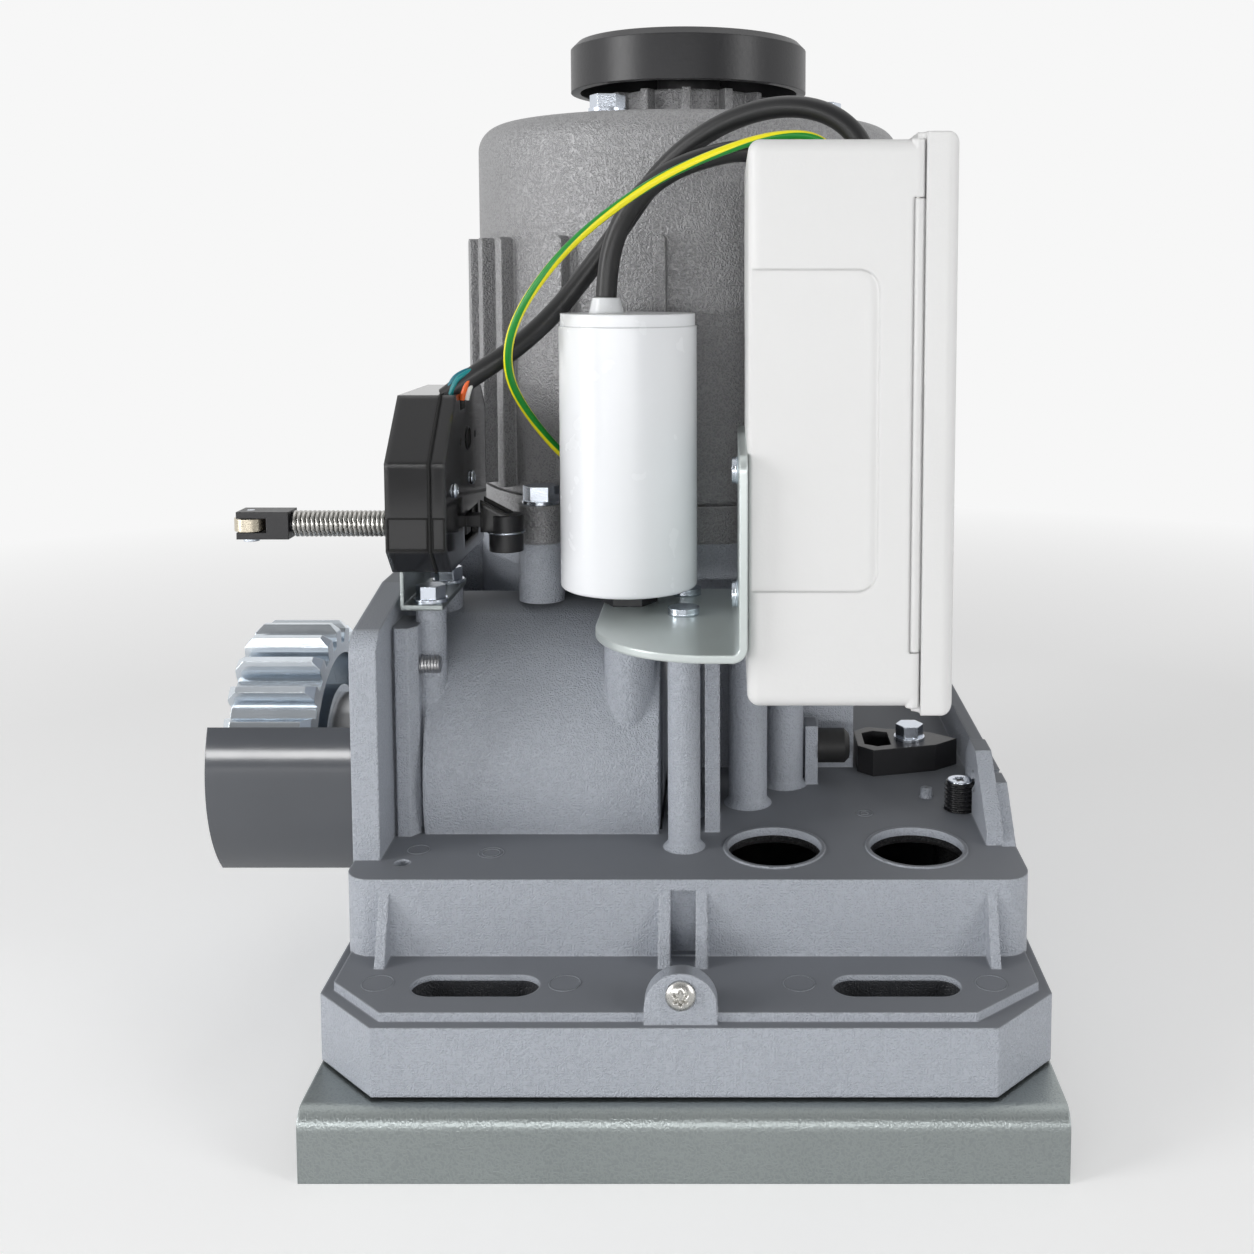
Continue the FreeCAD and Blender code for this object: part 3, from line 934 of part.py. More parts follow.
def capacitor():
    bracket = Piece("capacitor_bracket")
    bracket.pad("XZ", ("plate_front", "plate_back"), polygon(
        ("plate_left", "bracket_seat"), ("leg_right", "bracket_seat"), ("leg_right", "leg_top"),
        ("leg_left", "leg_top"), ("leg_left", "plate_top"), ("plate_left", "plate_top")))
    bracket.soften("Fillet", "plate_bend", lambda e: runs(e, "Y") and near(middle(e).x, "leg_right")
                   and near(middle(e).z, "bracket_seat"))
    bracket.soften("Fillet", "plate_bend - plate_gauge", lambda e: runs(e, "Y") and near(middle(e).x, "leg_left")
                   and near(middle(e).z, "plate_top"))
    bracket.soften("Fillet", "plate_corner", lambda e: runs(e, "Z") and near(middle(e).x, "plate_left")
                   and near(middle(e).y, "plate_front"))
    bracket.soften("Fillet", "plate_bend", lambda e: runs(e, "X") and near(middle(e).z, "leg_top"))
    bracket.pocket("XY", ("bracket_seat", "plate_top"), circle("column_x", "column_y", "screw_radius + 0.2"),
                   circle("column_x", "column_back_y", "screw_radius + 0.2"),
                   circle("can_x", "can_y", "bolt_radius + 0.2"))
    bracket.pocket("YZ", ("leg_left", "leg_right"), *[circle("column_y", height, "screw_radius") for height in LEG_SCREWS])
    screws = [fuse(rod("Z", ("column_x", y), "5.6", ("plate_top", "plate_top + 2.6")),
                   rod("Z", ("column_x", y), "screw_radius", ("bracket_seat - 8", "plate_top + 1")))
              for y in ("column_y", "column_back_y")]
    screws += [fuse(rod("X", ("column_y", height), "4.6", ("leg_left - 2.2", "leg_left")),
                    rod("X", ("column_y", height), "screw_radius", ("leg_left - 1", "leg_right + box_wall + 3")))
               for height in LEG_SCREWS]
    keep(group(*screws), "bracket_screws")
    place = ("can_x", "can_y")
    keep(cut(hexagon("Z", place, "can_nut_radius * 1.8", ("plate_top", "can_foot")),
             rod("Z", place, "bolt_radius", ("plate_top - 1", "can_foot + 1"))), "capacitor_nut")
    can = Piece("capacitor").place("can_x", "can_y", "can_foot")
    stud = "bracket_seat - 6 - can_foot"
    can.turned(polygon(("0", stud), ("bolt_radius", stud), ("bolt_radius", "0"), ("can_radius", "0"),
                       ("can_radius", "can_high - can_lid_high"), ("0", "can_high - can_lid_high")))
    can.soften("Fillet", "1.5", lambda e: near(e.BoundBox.ZLength, 0) and near(e.BoundBox.XLength, 2 * size("can_radius"), 0.1)
               and e.BoundBox.ZMax < size("can_high") / 2)
    lid = rod("Z", place, "can_radius - 0.6", ("can_top - can_lid_high", "can_top"))
    collar = cone("Z", ("collar_x", "can_y"), ("6.4", "5"), ("can_top", "can_top + collar_high"))
    keep(fuse(lid, collar), "capacitor_cap")


# ---------------------------------------------------------------- control box
def control_box():
    box = helper("box_shell")
    x, y, z = ("box_left", "box_right"), ("box_front", "box_back"), ("box_foot", "box_top")
    box.pad("XY", z, rectangle(x, y))
    box.soften("Fillet", "box_round", lambda e: near(middle(e).x, "box_left") or (
        runs(e, "X") and (near(middle(e).z, "box_top") or near(middle(e).z, "box_foot"))))
    box.pocket("XZ", ("box_front", "box_front + panel_deep"),
               rectangle(("box_left - 1", "panel_right"), ("panel_foot", "panel_top")))
    box.soften("Fillet", "panel_corner", lambda e: runs(e, "Y") and near(e.Length, "panel_deep")
               and near(middle(e).x, "panel_right"))
    box.pocket("YZ", ("box_left + box_wall", "box_right"),
               rectangle(("box_front + box_wall + panel_deep", "box_back - box_wall"),
                         ("box_foot + box_wall", "box_top - box_wall")))
    box.pocket("YZ", ("box_left - 1", "box_left + box_wall"), *[circle("column_y", height, "screw_radius")
                                                                for height in LEG_SCREWS])
    # cable entries: a notch over the left edge and two holes in the top
    box.pocket("XY", ("box_top - box_round - 5", "box_top"),
               rectangle(("box_left - 1", "box_left + 19"), ("notch_y - 6.5", "notch_y + 5.5")))
    box.pocket("XY", ("box_top - box_wall", "box_top"), circle("60.8", "-98.2", "cable_radius + 2.2"))
    box.pocket("XY", ("box_top - box_wall", "box_top"), circle("50.6", "-99", "earth_radius + 2"))
    lid = helper("lid_shell")
    lid.pad("XY", ("box_foot - lid_over", "box_top + lid_over"),
            rectangle(("lid_left", "lid_right"), ("box_front", "box_back + lid_over")))
    lid.soften("Fillet", "box_round", lambda e: near(middle(e).x, "lid_right") or (
        runs(e, "X") and near(middle(e).y, size("box_back") + size("lid_over"))))
    lid.pocket("YZ", ("lid_left", "lid_right - lid_wall"),
               rectangle(("box_front + 2 * knuckle_radius + lid_wall", "box_back + lid_over - lid_wall"),
                         ("box_foot - lid_over + lid_wall", "box_top + lid_over - lid_wall")))
    posts = [rod("X", (y, z), "3", ("box_left + box_wall - 0.5", "board_x"))
             for y in ("box_front + 18", "box_back - 14") for z in ("box_foot + 18", "box_top - 30")]
    hinges(fuse(box.body, *posts), lid.body)


def hinges(box_shell, lid_shell):
    """The joint's front edge is one long barrel: short ends on the box, the long middle on the lid, a pin at each end."""
    axis = ("hinge_x", "hinge_y")
    low, high = "box_foot + knuckle_long", "box_top - knuckle_long"
    rings = [rod("Z", axis, "knuckle_radius", span) for span in (("box_foot", low), (high, "box_top"))]
    barrel = rod("Z", axis, "knuckle_radius", (f"{low} + lid_gap", f"{high} - lid_gap"))
    room = rod("Z", axis, "knuckle_radius + lid_gap", (low, high))
    lid_edge = block(("hinge_x - 1", "hinge_x + knuckle_radius + lid_gap"), ("box_front - 1", "hinge_y"),
                     ("box_foot - lid_over - 1", "box_top + lid_over + 1"))
    lid_room = [rod("Z", axis, "knuckle_radius + lid_gap", span)
                for span in (("box_foot - lid_over - 1", f"{low} + lid_gap"), (f"{high} - lid_gap", "box_top + lid_over + 1"))]
    spans = (("box_foot + 1", "box_foot + hinge_long"), ("box_top - hinge_long", "box_top - 1"))
    pins = [rod("Z", axis, "pin_radius", span) for span in spans]
    bores = [rod("Z", axis, "pin_radius", span) for span in spans]
    pin_room = [rod("Z", axis, "pin_radius + fit_gap", span)
                for span in ((low, "box_foot + hinge_long + 0.3"), ("box_top - hinge_long - 0.3", high))]
    keep(cut(fuse(cut(box_shell, room), *rings), *bores), "control_box")
    keep(cut(fuse(cut(lid_shell, lid_edge, *lid_room), barrel), *pin_room), "control_box_lid")
    keep(group(*pins), "hinge_pins")


def control_board():
    keep(block(("board_x", "board_x + board_gauge"), ("box_front + 12", "box_back - 8"), ("box_foot + 12", "box_top - 22")),
         "circuit_board")
    face = "board_x + board_gauge"
    keep(block((face, f"{face} + transformer_out"),
               ("box_front + transformer_front", "box_front + transformer_front + transformer_deep"),
               ("box_foot + transformer_foot", "box_foot + transformer_foot + transformer_high")),
         "transformer")
    strips = [block((face, f"{face} + terminal_out"),
                    ("box_back - terminal_back - terminal_wide", "box_back - terminal_back"),
                    (f"box_foot + terminal_foot + {up}", f"box_foot + terminal_foot + terminal_long + {up}"))
              for up in ("0", "terminal_step")]
    keep(group(*strips), "terminal_blocks")


# ---------------------------------------------------------------- limit switch
def switch_outline(inset="0"):
    """Side profile (Y, Z): chamfered top corners and a sloping underside."""
    front, back = f"switch_front + {inset}", f"switch_back - ({inset})"
    foot, top = f"switch_foot + {inset}", f"switch_top - ({inset})"
    return polygon((front, f"{foot} + switch_nose"), (f"{front} + switch_nose", foot), (f"{back} - switch_nose", foot),
                   (back, f"{foot} + switch_nose"), (back, f"{top} - switch_nose"), (f"{back} - switch_nose", top),
                   (f"{front} + switch_shoulder", top), (front, f"{top} - switch_shoulder"))


def limit_switch():
    slit = (("lever_y - slit_half", "lever_y + slit_half"), ("lever_z - slit_high / 2", "lever_z + slit_high / 2"))
    body = Piece("switch_body")
    body.pad("YZ", ("switch_left", "switch_split"), switch_outline())
    body.pocket("YZ", ("switch_left + switch_wall", "switch_split"), switch_outline("switch_wall"))
    body.pocket("YZ", ("switch_left - 1", "switch_split"), rectangle(*slit))
    cover = Piece("switch_cover")
    cover.pad("YZ", ("switch_split", "switch_right"), switch_outline())
    cover.pocket("YZ", ("switch_split", "switch_right - switch_wall"), switch_outline("switch_wall"))
    cover.pocket("YZ", ("switch_split", "switch_right + 1"), rectangle(*slit))
    entry = rectangle(("switch_split - 1", "switch_right + 1"), ("entry_y - entry_half", "entry_y + entry_half"))
    body.pocket("XY", ("switch_top - entry_deep", "switch_top + 1"), entry)
    cover.pocket("XY", ("switch_top - entry_deep", "switch_top + 1"),
                 rectangle(("switch_split - 1", "switch_right + 1"), ("entry_y - entry_half", "entry_y + entry_half")))
    pivot = ("pivot_x", "lever_y")
    low, high = "switch_foot + switch_wall", "switch_top - switch_wall"
    keep(rod("Z", pivot, "2", (low, "lever_z + 14")), "lever_pin")
    reach = "(micro_near + micro_long)"
    switches = [block(("pivot_x - 3", "pivot_x + 3.4"), span, ("lever_z + 16", "lever_z + 27"))
                for span in ((f"lever_y - {reach}", "lever_y - micro_near"), ("lever_y + micro_near", f"lever_y + {reach}"))]
    plate = block(("switch_left + switch_wall", "pivot_x + 3.4"), (f"lever_y - {reach}", f"lever_y + {reach}"),
                  ("lever_z + 14", "lever_z + 16"))
    keep(fuse(plate, *switches), "microswitches")

    # lever: flat core through the case, plug in the spring, arm and hub on the far side
    core = cut(fuse(block(("switch_left + 1", "switch_right - 1"), ("lever_y - 4", "lever_y + 4"), ("lever_z - 3.6", "lever_z + 3.6")),
                    rod("Z", pivot, "5.5", ("lever_z - 4.6", "lever_z + 4.6"))),
               rod("Z", pivot, "2 + fit_gap", ("lever_z - 6", "lever_z + 6")))
    plug = rod("X", ("lever_y", "lever_z"), "spring_radius - spring_wire - 0.1", ("switch_left - 6", "switch_left + 2"))
    keep(fuse(core, plug), "lever_core")
    arm = block(("switch_right - 1", "arm_hub_x"), ("lever_y - 4", "lever_y + 4"), ("lever_z - 0.6", "lever_z + 3.6"))
    hub = rod("Z", ("arm_hub_x", "lever_y"), "arm_hub_radius", ("arm_hub_low", "lever_z + 3.6"))
    keep(fuse(arm, hub), "lever_arm")
    coil = cut(rod("X", ("lever_y", "lever_z"), "spring_radius", ("spring_left", "switch_left - 0.4")),
               rod("X", ("lever_y", "lever_z"), "spring_radius - spring_wire", ("spring_left - 1", "switch_left + 1")))
    keep(coil, "lever_spring")
    half_wide, half_high = "clevis_wide / 2", "clevis_high / 2"
    fork = block(("clevis_left", "spring_left"), (f"lever_y - {half_wide}", f"lever_y + {half_wide}"),
                 (f"lever_z - {half_high}", f"lever_z + {half_high}"))
    gap = block(("clevis_left - 1", "roller_x + roller_radius + 1.2"), (f"lever_y - {half_wide} - 1", f"lever_y + {half_wide} + 1"),
                ("lever_z - roller_high / 2 - 0.3", "lever_z + roller_high / 2 + 0.3"))
    plug_end = rod("X", ("lever_y", "lever_z"), "spring_radius - spring_wire - 0.1", ("spring_left - 1", "spring_left + 8"))
    pin_room = rod("Z", ("roller_x", "lever_y"), "rivet_radius", ("lever_z - 9", "lever_z + 9"))
    keep(cut(fuse(cut(fork, gap), plug_end), pin_room), "roller_clevis")
    rivet = fuse(rod("Z", ("roller_x", "lever_y"), "rivet_radius", (f"lever_z - {half_high}", f"lever_z + {half_high}")),
                 rod("Z", ("roller_x", "lever_y"), "rivet_radius + 1.5", (f"lever_z - {half_high} - 1.4", f"lever_z - {half_high}")))
    keep(rivet, "roller_rivet")
    roller = cut(rod("Z", ("roller_x", "lever_y"), "roller_radius", ("lever_z - roller_high / 2", "lever_z + roller_high / 2")),
                 rod("Z", ("roller_x", "lever_y"), "rivet_radius + fit_gap", ("lever_z - 6", "lever_z + 6")))
    keep(roller, "limit_roller")

    foot_top = "bracket_seat + foot_gauge"
    flat = block(("foot_left", "limit_boss_x + limit_boss_radius"), ("limit_boss_y - 7", "limit_boss_back + 7"), ("bracket_seat", foot_top))
    leg = block(("foot_left", "foot_left + 1.2"), ("limit_boss_y - 7", "limit_boss_back + 7"), ("bracket_seat", "switch_top - 14"))
    seat = block(("foot_left + 1.2", "switch_split - 2"), ("lever_y - 6", "lever_y + 6"), ("switch_foot - 2", "switch_foot"))
    window = block(("foot_left - 1", "switch_left"), ("lever_y - slit_half", "lever_y + slit_half"), ("lever_z - 8", "lever_z + 8"))
    holes = [rod("Z", ("limit_boss_x", y), "screw_radius + 0.2", ("bracket_seat - 1", f"{foot_top} + 1"))
             for y in ("limit_boss_y", "limit_boss_back")]
    keep(cut(fuse(flat, leg, seat), window, *holes), "limit_bracket")
    bolts = [fuse(rod("Z", ("limit_boss_x", y), "6.2", (foot_top, f"{foot_top} + 1.4")),
                  hexagon("Z", ("limit_boss_x", y), "9.6", (f"{foot_top} + 1.4", f"{foot_top} + 6.2")),
                  rod("Z", ("limit_boss_x", y), "screw_radius", ("bracket_seat - 8", f"{foot_top} + 2")))
             for y in ("limit_boss_y", "limit_boss_back")]
    keep(group(*bolts), "limit_bolts")
    stud_end = cut(rod("X", ("limit_boss_y - limit_boss_radius - 1.6", "stud_z"), "bolt_radius - 0.6", ("limit_boss_x - 2.6", "limit_boss_x + 4.6")),
                   rod("Z", ("limit_boss_x", "limit_boss_y"), "limit_boss_radius", ("stud_z - 8", "stud_z + 8")))
    keep(stud_end, "wall_stud")


# ---------------------------------------------------------------- cords
CAPACITOR_ROUTE = [
    (-30.3, -79, 273.5), (-29.8, -79, 283.7), (-27.2, -79.6, 294.6), (-22.9, -81, 303.4), (-17.4, -82.5, 310),
    (-10.8, -84.5, 315.6), (-2.6, -86.4, 320), (8, -88, 323.4), (18.4, -89, 325.2), (27, -89.5, 323.6),
    (33.6, -90, 318.4), (37.4, -90, 310.6)]
LIMIT_ROUTE = [
    (-90.2, -74, 236.6), (-86, -74.2, 239.6), (-81.6, -74.4, 243.2), (-74.4, -74, 248), (-65.4, -72, 254),
    (-56.6, -69, 261.6), (-48.4, -66.6, 270), (-40.6, -65.6, 279.8), (-32, -65.8, 290.8), (-24.2, -67, 301.2),
    (-16.8, -69.8, 311.6), (-9.2, -73, 320.6), (0.6, -77, 328.9),
    (12.7, -81.4, 335.8), (25.9, -86, 339.9), (38.8, -91, 340.4), (50.2, -95, 336.8), (58.4, -97.5, 329.6),
    (62, -98.3, 320.4), (62.4, -98.5, 310.6)]
EARTH_ROUTE = [
    (-38.6, -45.6, 203.2), (-43.6, -49.4, 207.4), (-49.8, -54.8, 213.2), (-55.6, -61.6, 221.4), (-61, -71, 231.4),
    (-64.4, -81, 241), (-64.9, -89.6, 250.4), (-62.9, -95.4, 260), (-58.4, -98.6, 269.6), (-52, -99.8, 279),
    (-44.4, -100.2, 288.2), (-34, -100.2, 298), (-21.4, -100.2, 307.4), (-9.4, -100.2, 314.8), (2.2, -100.2, 320.2),
    (13.6, -100.2, 324.6), (23, -100, 327.6), (32.4, -99.7, 329.4), (41.6, -99.3, 329.4), (48, -99, 326.2),
    (51.2, -99, 319.8), (51.8, -99, 312.6)]


def rounded_path(route):
    """Straight runs joined by tangent arcs as large as the shorter run allows; prints the radii."""
    points = [V(*p) for p in route]
    edges, start, radii = [], points[0], []
    for before, corner, after in zip(points, points[1:], points[2:]):
        into, out = corner - before, after - corner
        reach = 0.45 * min(into.Length, out.Length)
        turn = into.getAngle(out)
        radii.append(reach / math.tan(turn / 2))
        into.normalize()
        out.normalize()
        enter, leave = corner - into * reach, corner + out * reach
        mid = (enter + leave) * 0.5
        centre = corner + (mid - corner) * ((radii[-1] / math.cos(turn / 2)) / (mid - corner).Length)
        top = centre + (corner - centre).normalize() * radii[-1]
        edges.append(Part.LineSegment(start, enter).toShape())
        edges.append(Part.Arc(enter, top, leave).toShape())
        start = leave
    edges.append(Part.LineSegment(start, points[-1]).toShape())
    return Part.Wire(edges), radii


def cord(label, route, radius):
    path, radii = rounded_path(route)
    first = V(*route[1]) - V(*route[0])
    section = Part.Wire(Part.Circle(V(*route[0]), first, radius).toShape())
    tube = path.makePipeShell([section], True, True)
    share = tube.Volume / (math.pi * radius ** 2 * path.Length)
    print(f"{label}: length {path.Length:.1f}, least radius {min(radii):.1f}, volume share {share:.4f}")
    item = doc.addObject("Part::Feature", label)
    item.Shape = tube
    keep(item, label)


def cords():
    cord("capacitor_cable", CAPACITOR_ROUTE, size("cable_radius"))
    cord("limit_switch_cable", LIMIT_ROUTE, size("cable_radius"))
    cord("earth_wire", EARTH_ROUTE, size("earth_radius"))
    screw = ("earth_x", "earth_z")
    keep(fuse(rod("Y", screw, "4.4", ("earth_y", "earth_y + earth_head - 1")),
              rod("Y", screw, "5.2", ("earth_y + earth_head - 1", "earth_y + earth_head")),
              rod("Y", screw, "screw_radius", ("earth_y + 1", "earth_y + 10"))), "earth_screw")


# ---------------------------------------------------------------- build, check and write
def check_and_write():
    doc.recompute()
    faults = [item.Label for item in doc.Objects if {"Invalid", "Error"} & set(item.State)]
    for item in KEPT:
        if item.Shape.isNull() or not item.Shape.isValid() or not item.Shape.Solids:
            faults.append(item.Label)
    if faults:
        raise ValueError(f"failed: {faults}")
    os.makedirs("parts", exist_ok=True)
    for item in KEPT:
        box = item.Shape.BoundBox
        print(f"{item.Label}: {len(item.Shape.Solids)} solids, {item.Shape.Volume / 1000:.1f} cm3, "
              f"x {box.XMin:.1f}..{box.XMax:.1f} y {box.YMin:.1f}..{box.YMax:.1f} z {box.ZMin:.1f}..{box.ZMax:.1f}")
        item.Shape.exportStep(f"parts/{item.Label}.step")


base_plate()
gearbox_housing()
wheel_cover()
rack_pinion()
worm_wheel()
worm_shaft()
motor_pinion()
output_train()
motor()
shelf_fittings()
pinion_guard()
capacitor()
control_box()
control_board()
limit_switch()
cords()
check_and_write()
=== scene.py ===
# %% [markdown]
# A sliding gate motor with its outer cover off.
# Its castings, gears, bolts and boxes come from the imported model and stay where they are. This lesson gives them
# their finishes, and adds what a solid model leaves out: the cables, the coil spring, seams, small screws and wires.

# %% Load the frame
import json
import math

import bpy
import numpy as np
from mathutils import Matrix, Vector


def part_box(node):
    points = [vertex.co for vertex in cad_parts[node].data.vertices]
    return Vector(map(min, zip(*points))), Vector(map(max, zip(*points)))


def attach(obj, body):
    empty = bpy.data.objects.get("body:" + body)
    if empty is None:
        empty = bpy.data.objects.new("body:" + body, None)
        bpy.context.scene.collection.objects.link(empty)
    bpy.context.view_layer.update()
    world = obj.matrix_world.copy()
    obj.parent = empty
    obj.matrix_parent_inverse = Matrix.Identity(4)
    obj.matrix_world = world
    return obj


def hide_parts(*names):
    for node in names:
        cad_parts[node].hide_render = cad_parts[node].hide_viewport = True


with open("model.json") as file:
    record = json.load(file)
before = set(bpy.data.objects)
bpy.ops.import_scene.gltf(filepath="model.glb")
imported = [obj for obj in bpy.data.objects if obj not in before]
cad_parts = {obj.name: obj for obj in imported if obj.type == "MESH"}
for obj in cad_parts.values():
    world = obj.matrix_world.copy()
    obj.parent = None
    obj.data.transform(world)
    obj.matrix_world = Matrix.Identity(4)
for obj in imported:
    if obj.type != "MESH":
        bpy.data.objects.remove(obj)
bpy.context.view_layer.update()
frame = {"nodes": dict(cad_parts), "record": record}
nodes = frame["nodes"]
MM = 0.001

# %% [markdown]
# The camera stands in front of the motor, a little above the middle of its height, and looks slightly down.
# A lens shift keeps the upright edges nearly upright.

# %% Camera
camera_data = bpy.data.cameras.new("camera")
camera_data.sensor_width = 36
camera_data.lens = 40.1
camera_data.shift_x = -0.080
camera_data.shift_y = -0.180
camera = bpy.data.objects.new("camera", camera_data)
camera.location = (0.0135, -0.586, 0.280)
camera.rotation_euler = (math.radians(90 - 5), 0, 0)
bpy.context.collection.objects.link(camera)
bpy.context.scene.camera = camera
bpy.context.scene.view_settings.view_transform = "Standard"
print("lens:", camera_data.lens, "mm")

# %% [markdown]
# Shader maths reads best as ordinary expressions. A small class wraps a node's output and overloads the operators,
# so a mask times a number adds its own Math node.

# %% Values that add and multiply
class Value:
    """A node's output that can be used in sums."""

    def __init__(self, finish, link):
        self.finish, self.link = finish, link

    def _do(self, operation, first, second=0.0):
        return self.finish.node("Math", {"operation": operation}, {0: first, 1: second})

    def __add__(self, other):
        return self._do("ADD", self, other)

    def __sub__(self, other):
        return self._do("SUBTRACT", self, other)

    def __rsub__(self, other):
        return self._do("SUBTRACT", other, self)

    def __mul__(self, other):
        return self._do("MULTIPLY", self, other)

    def __rtruediv__(self, other):
        return self._do("DIVIDE", other, self)

    def fraction(self):
        return self._do("FRACT", self)

    __radd__, __rmul__ = __add__, __mul__


class Finish:
    """One material: its node tree, its shader, and the few kinds of node the finishes share."""

    def __init__(self, name, **shader):
        self.material = bpy.data.materials.new(name)
        self.material.use_nodes = True
        self.tree = self.material.node_tree
        self.shader = self.tree.nodes["Principled BSDF"]
        self.place = self.node("TexCoord", {}, {}, "Object")
        self.set(**shader)

    def node(self, kind, settings, sockets, output=0):
        made = self.tree.nodes.new("ShaderNode" + kind)
        for key, value in settings.items():
            if key == "stops":
                ramp = made.color_ramp
                while len(ramp.elements) < len(value):
                    ramp.elements.new(0.5)
                for stop, (at, grey) in zip(ramp.elements, value):
                    stop.position, stop.color = at, (grey, grey, grey, 1)
            else:
                setattr(made, key, value)
        for key, value in sockets.items():
            self._feed(made.inputs[key], value)
        return Value(self, made.outputs[output])

    def _feed(self, socket, value):
        if isinstance(value, Value):
            self.tree.links.new(value.link, socket)
        else:
            socket.default_value = value

    def set(self, **sockets):
        """Shader sockets by name, with underscores for spaces."""
        for key, value in sockets.items():
            if isinstance(value, tuple) and len(value) == 3:
                value = (*value, 1)
            self._feed(self.shader.inputs[key.replace("_", " ")], value)

    def noise(self, scale, detail=2, rough=0.5, stretch=None):
        """Cloudy noise, 0 to 1. scale is in repeats per metre; stretch gives a factor for each axis."""
        place = self.place
        if stretch:
            place = self.node("Mapping", {}, {"Vector": place, "Scale": stretch})
        sockets = {"Vector": place, "Scale": scale, "Detail": detail, "Roughness": rough}
        return self.node("TexNoise", {}, sockets, "Fac")

    def worms(self, scale, sharp=9):
        """Curly ridges, 0 to 1: high along the lines where cloudy noise crosses its middle value."""
        away = (self.noise(scale, 1, 0.4) - 0.5) * sharp
        return 1 / (1 + away * away)

    def uprightness(self):
        """1 on walls, 0 on level faces: a casting's level faces come out smooth and its walls grained."""
        lean = self.node("NewGeometry", {}, {}, "Normal")
        up = self.node("SeparateXYZ", {}, {0: lean}, "Z")
        return 1 - up * up

    def inside(self, *ranges):
        """1 where the place lies within every range, given as (axis, low, high) in millimetres; 0 elsewhere."""
        factor = None
        for axis, low, high in ranges:
            at = self.node("SeparateXYZ", {}, {0: self.place}, axis)
            for kind, limit in (("GREATER_THAN", low), ("LESS_THAN", high)):
                test = self.node("Math", {"operation": kind}, {0: at, 1: limit * MM})
                factor = test if factor is None else factor * test
        return factor

    def steps(self, value, *stops):
        """The value through a grey ramp."""
        return self.node("ValToRGB", {"stops": stops}, {"Fac": value})

    def blend(self, factor, low, high):
        """From one colour to another, or one number to another, by a 0 to 1 factor."""
        kind = "RGBA" if isinstance(low, tuple) or isinstance(high, tuple) else "FLOAT"
        first, second, out = (6, 7, 2) if kind == "RGBA" else (2, 3, 0)
        full = [(*v, 1) if isinstance(v, tuple) and len(v) == 3 else v for v in (low, high)]
        return self.node("Mix", {"data_type": kind}, {0: factor, first: full[0], second: full[1]}, out)

    def edges(self, radius):
        """1 along sharp edges, 0 on flats: how far a rounded normal leans from the true one. Gives both."""
        round_normal = self.node("Bevel", {"samples": 6}, {"Radius": radius})
        true_normal = self.node("NewGeometry", {}, {}, "Normal")
        same = self.node("VectorMath", {"operation": "DOT_PRODUCT"}, {0: round_normal, 1: true_normal}, "Value")
        return 1 - same, round_normal

    def bump(self, *layers, normal=None):
        """Layers of (height, depth in metres), laid one over the other."""
        for height, depth in layers:
            sockets = {"Height": height, "Distance": depth, "Strength": 1.0}
            if normal is not None:
                sockets["Normal"] = normal
            normal = self.node("Bump", {}, sockets)
        self.set(Normal=normal)


finishes = {}
print("operators: + - * /")

# %% [markdown]
# The gearbox is cast aluminium under a blue-grey coat of paint. Its walls carry a fine worm-like grain, and its level
# faces are smoother, and painted darker as shade. Edges are rounded in the shader, which leaves the solid's own
# outline alone.

# %% Painted casting
paint = Finish("painted_casting", IOR=1.45)
edge, soft = paint.edges(0.0013)
wall = paint.uprightness()
cloud = paint.noise(14, 3)
grain = paint.worms(1000)
fine = paint.noise(1500, 2)
tone = paint.blend(cloud, (0.335, 0.360, 0.405), (0.385, 0.412, 0.462))
steep = paint.steps(wall, (0.01, 0.0), (0.12, 1.0))
# painted shade: level faces take a darker colour than the walls, standing for the shade they lie in
tone = paint.blend(steep, (0.200, 0.211, 0.233), tone)
tone = paint.blend(grain * wall * 0.36, tone, (0.55, 0.58, 0.64))
tone = paint.blend(paint.steps(edge, (0.02, 0.0), (0.25, 0.55)), tone, (0.55, 0.58, 0.63))
# painted shade: the walls of the slots and cable holes see little light, so their colour is darkened nearly to black
slot_walls_painted_shade = paint.inside(("X", -90.5, 90.5), ("Y", -154.5, -139.5), ("Z", 24.5, 47.6))
hole_walls_painted_shade = paint.inside(("X", 8, 104), ("Y", -125, -45), ("Z", 50, 74.2))
tone = paint.blend(slot_walls_painted_shade * 0.9, tone, (0.02, 0.02, 0.022))
tone = paint.blend(hole_walls_painted_shade, tone, (0.01, 0.01, 0.011))
paint.set(Base_Color=tone, Roughness=paint.blend(steep, 0.62, 0.34))
paint.bump((grain * steep, 0.00026), (fine, 0.00003), normal=soft)
finishes["painted_casting"] = paint
print("paint: walls grained, level faces smooth")

# %% [markdown]
# The motor's cup is bare sand-cast aluminium: dull, grainy, blotchy, brighter where edges were rubbed.

# %% Bare castings
raw = Finish("raw_casting", Metallic=0.5)
edge, soft = raw.edges(0.0014)
blotch = raw.noise(18, 4, 0.6)
grain = raw.worms(820)
sand = raw.noise(1700, 2, 0.7)
tone = raw.blend(blotch, (0.215, 0.215, 0.220), (0.290, 0.290, 0.297))
tone = raw.blend(grain * 0.40, tone, (0.48, 0.48, 0.49))
tone = raw.blend(raw.steps(edge, (0.02, 0.0), (0.3, 0.6)), tone, (0.52, 0.52, 0.53))
raw.set(Base_Color=tone, Roughness=raw.blend(sand, 0.40, 0.56))
raw.bump((grain, 0.00030), (sand, 0.00006), normal=soft)
finishes["raw_casting"] = raw
print("bare castings: rough, worn at the edges")

# %% [markdown]
# Folded steel sheet is dipped in zinc. Its skin is smooth, greenish silver, with soft clouds and a faint grain.

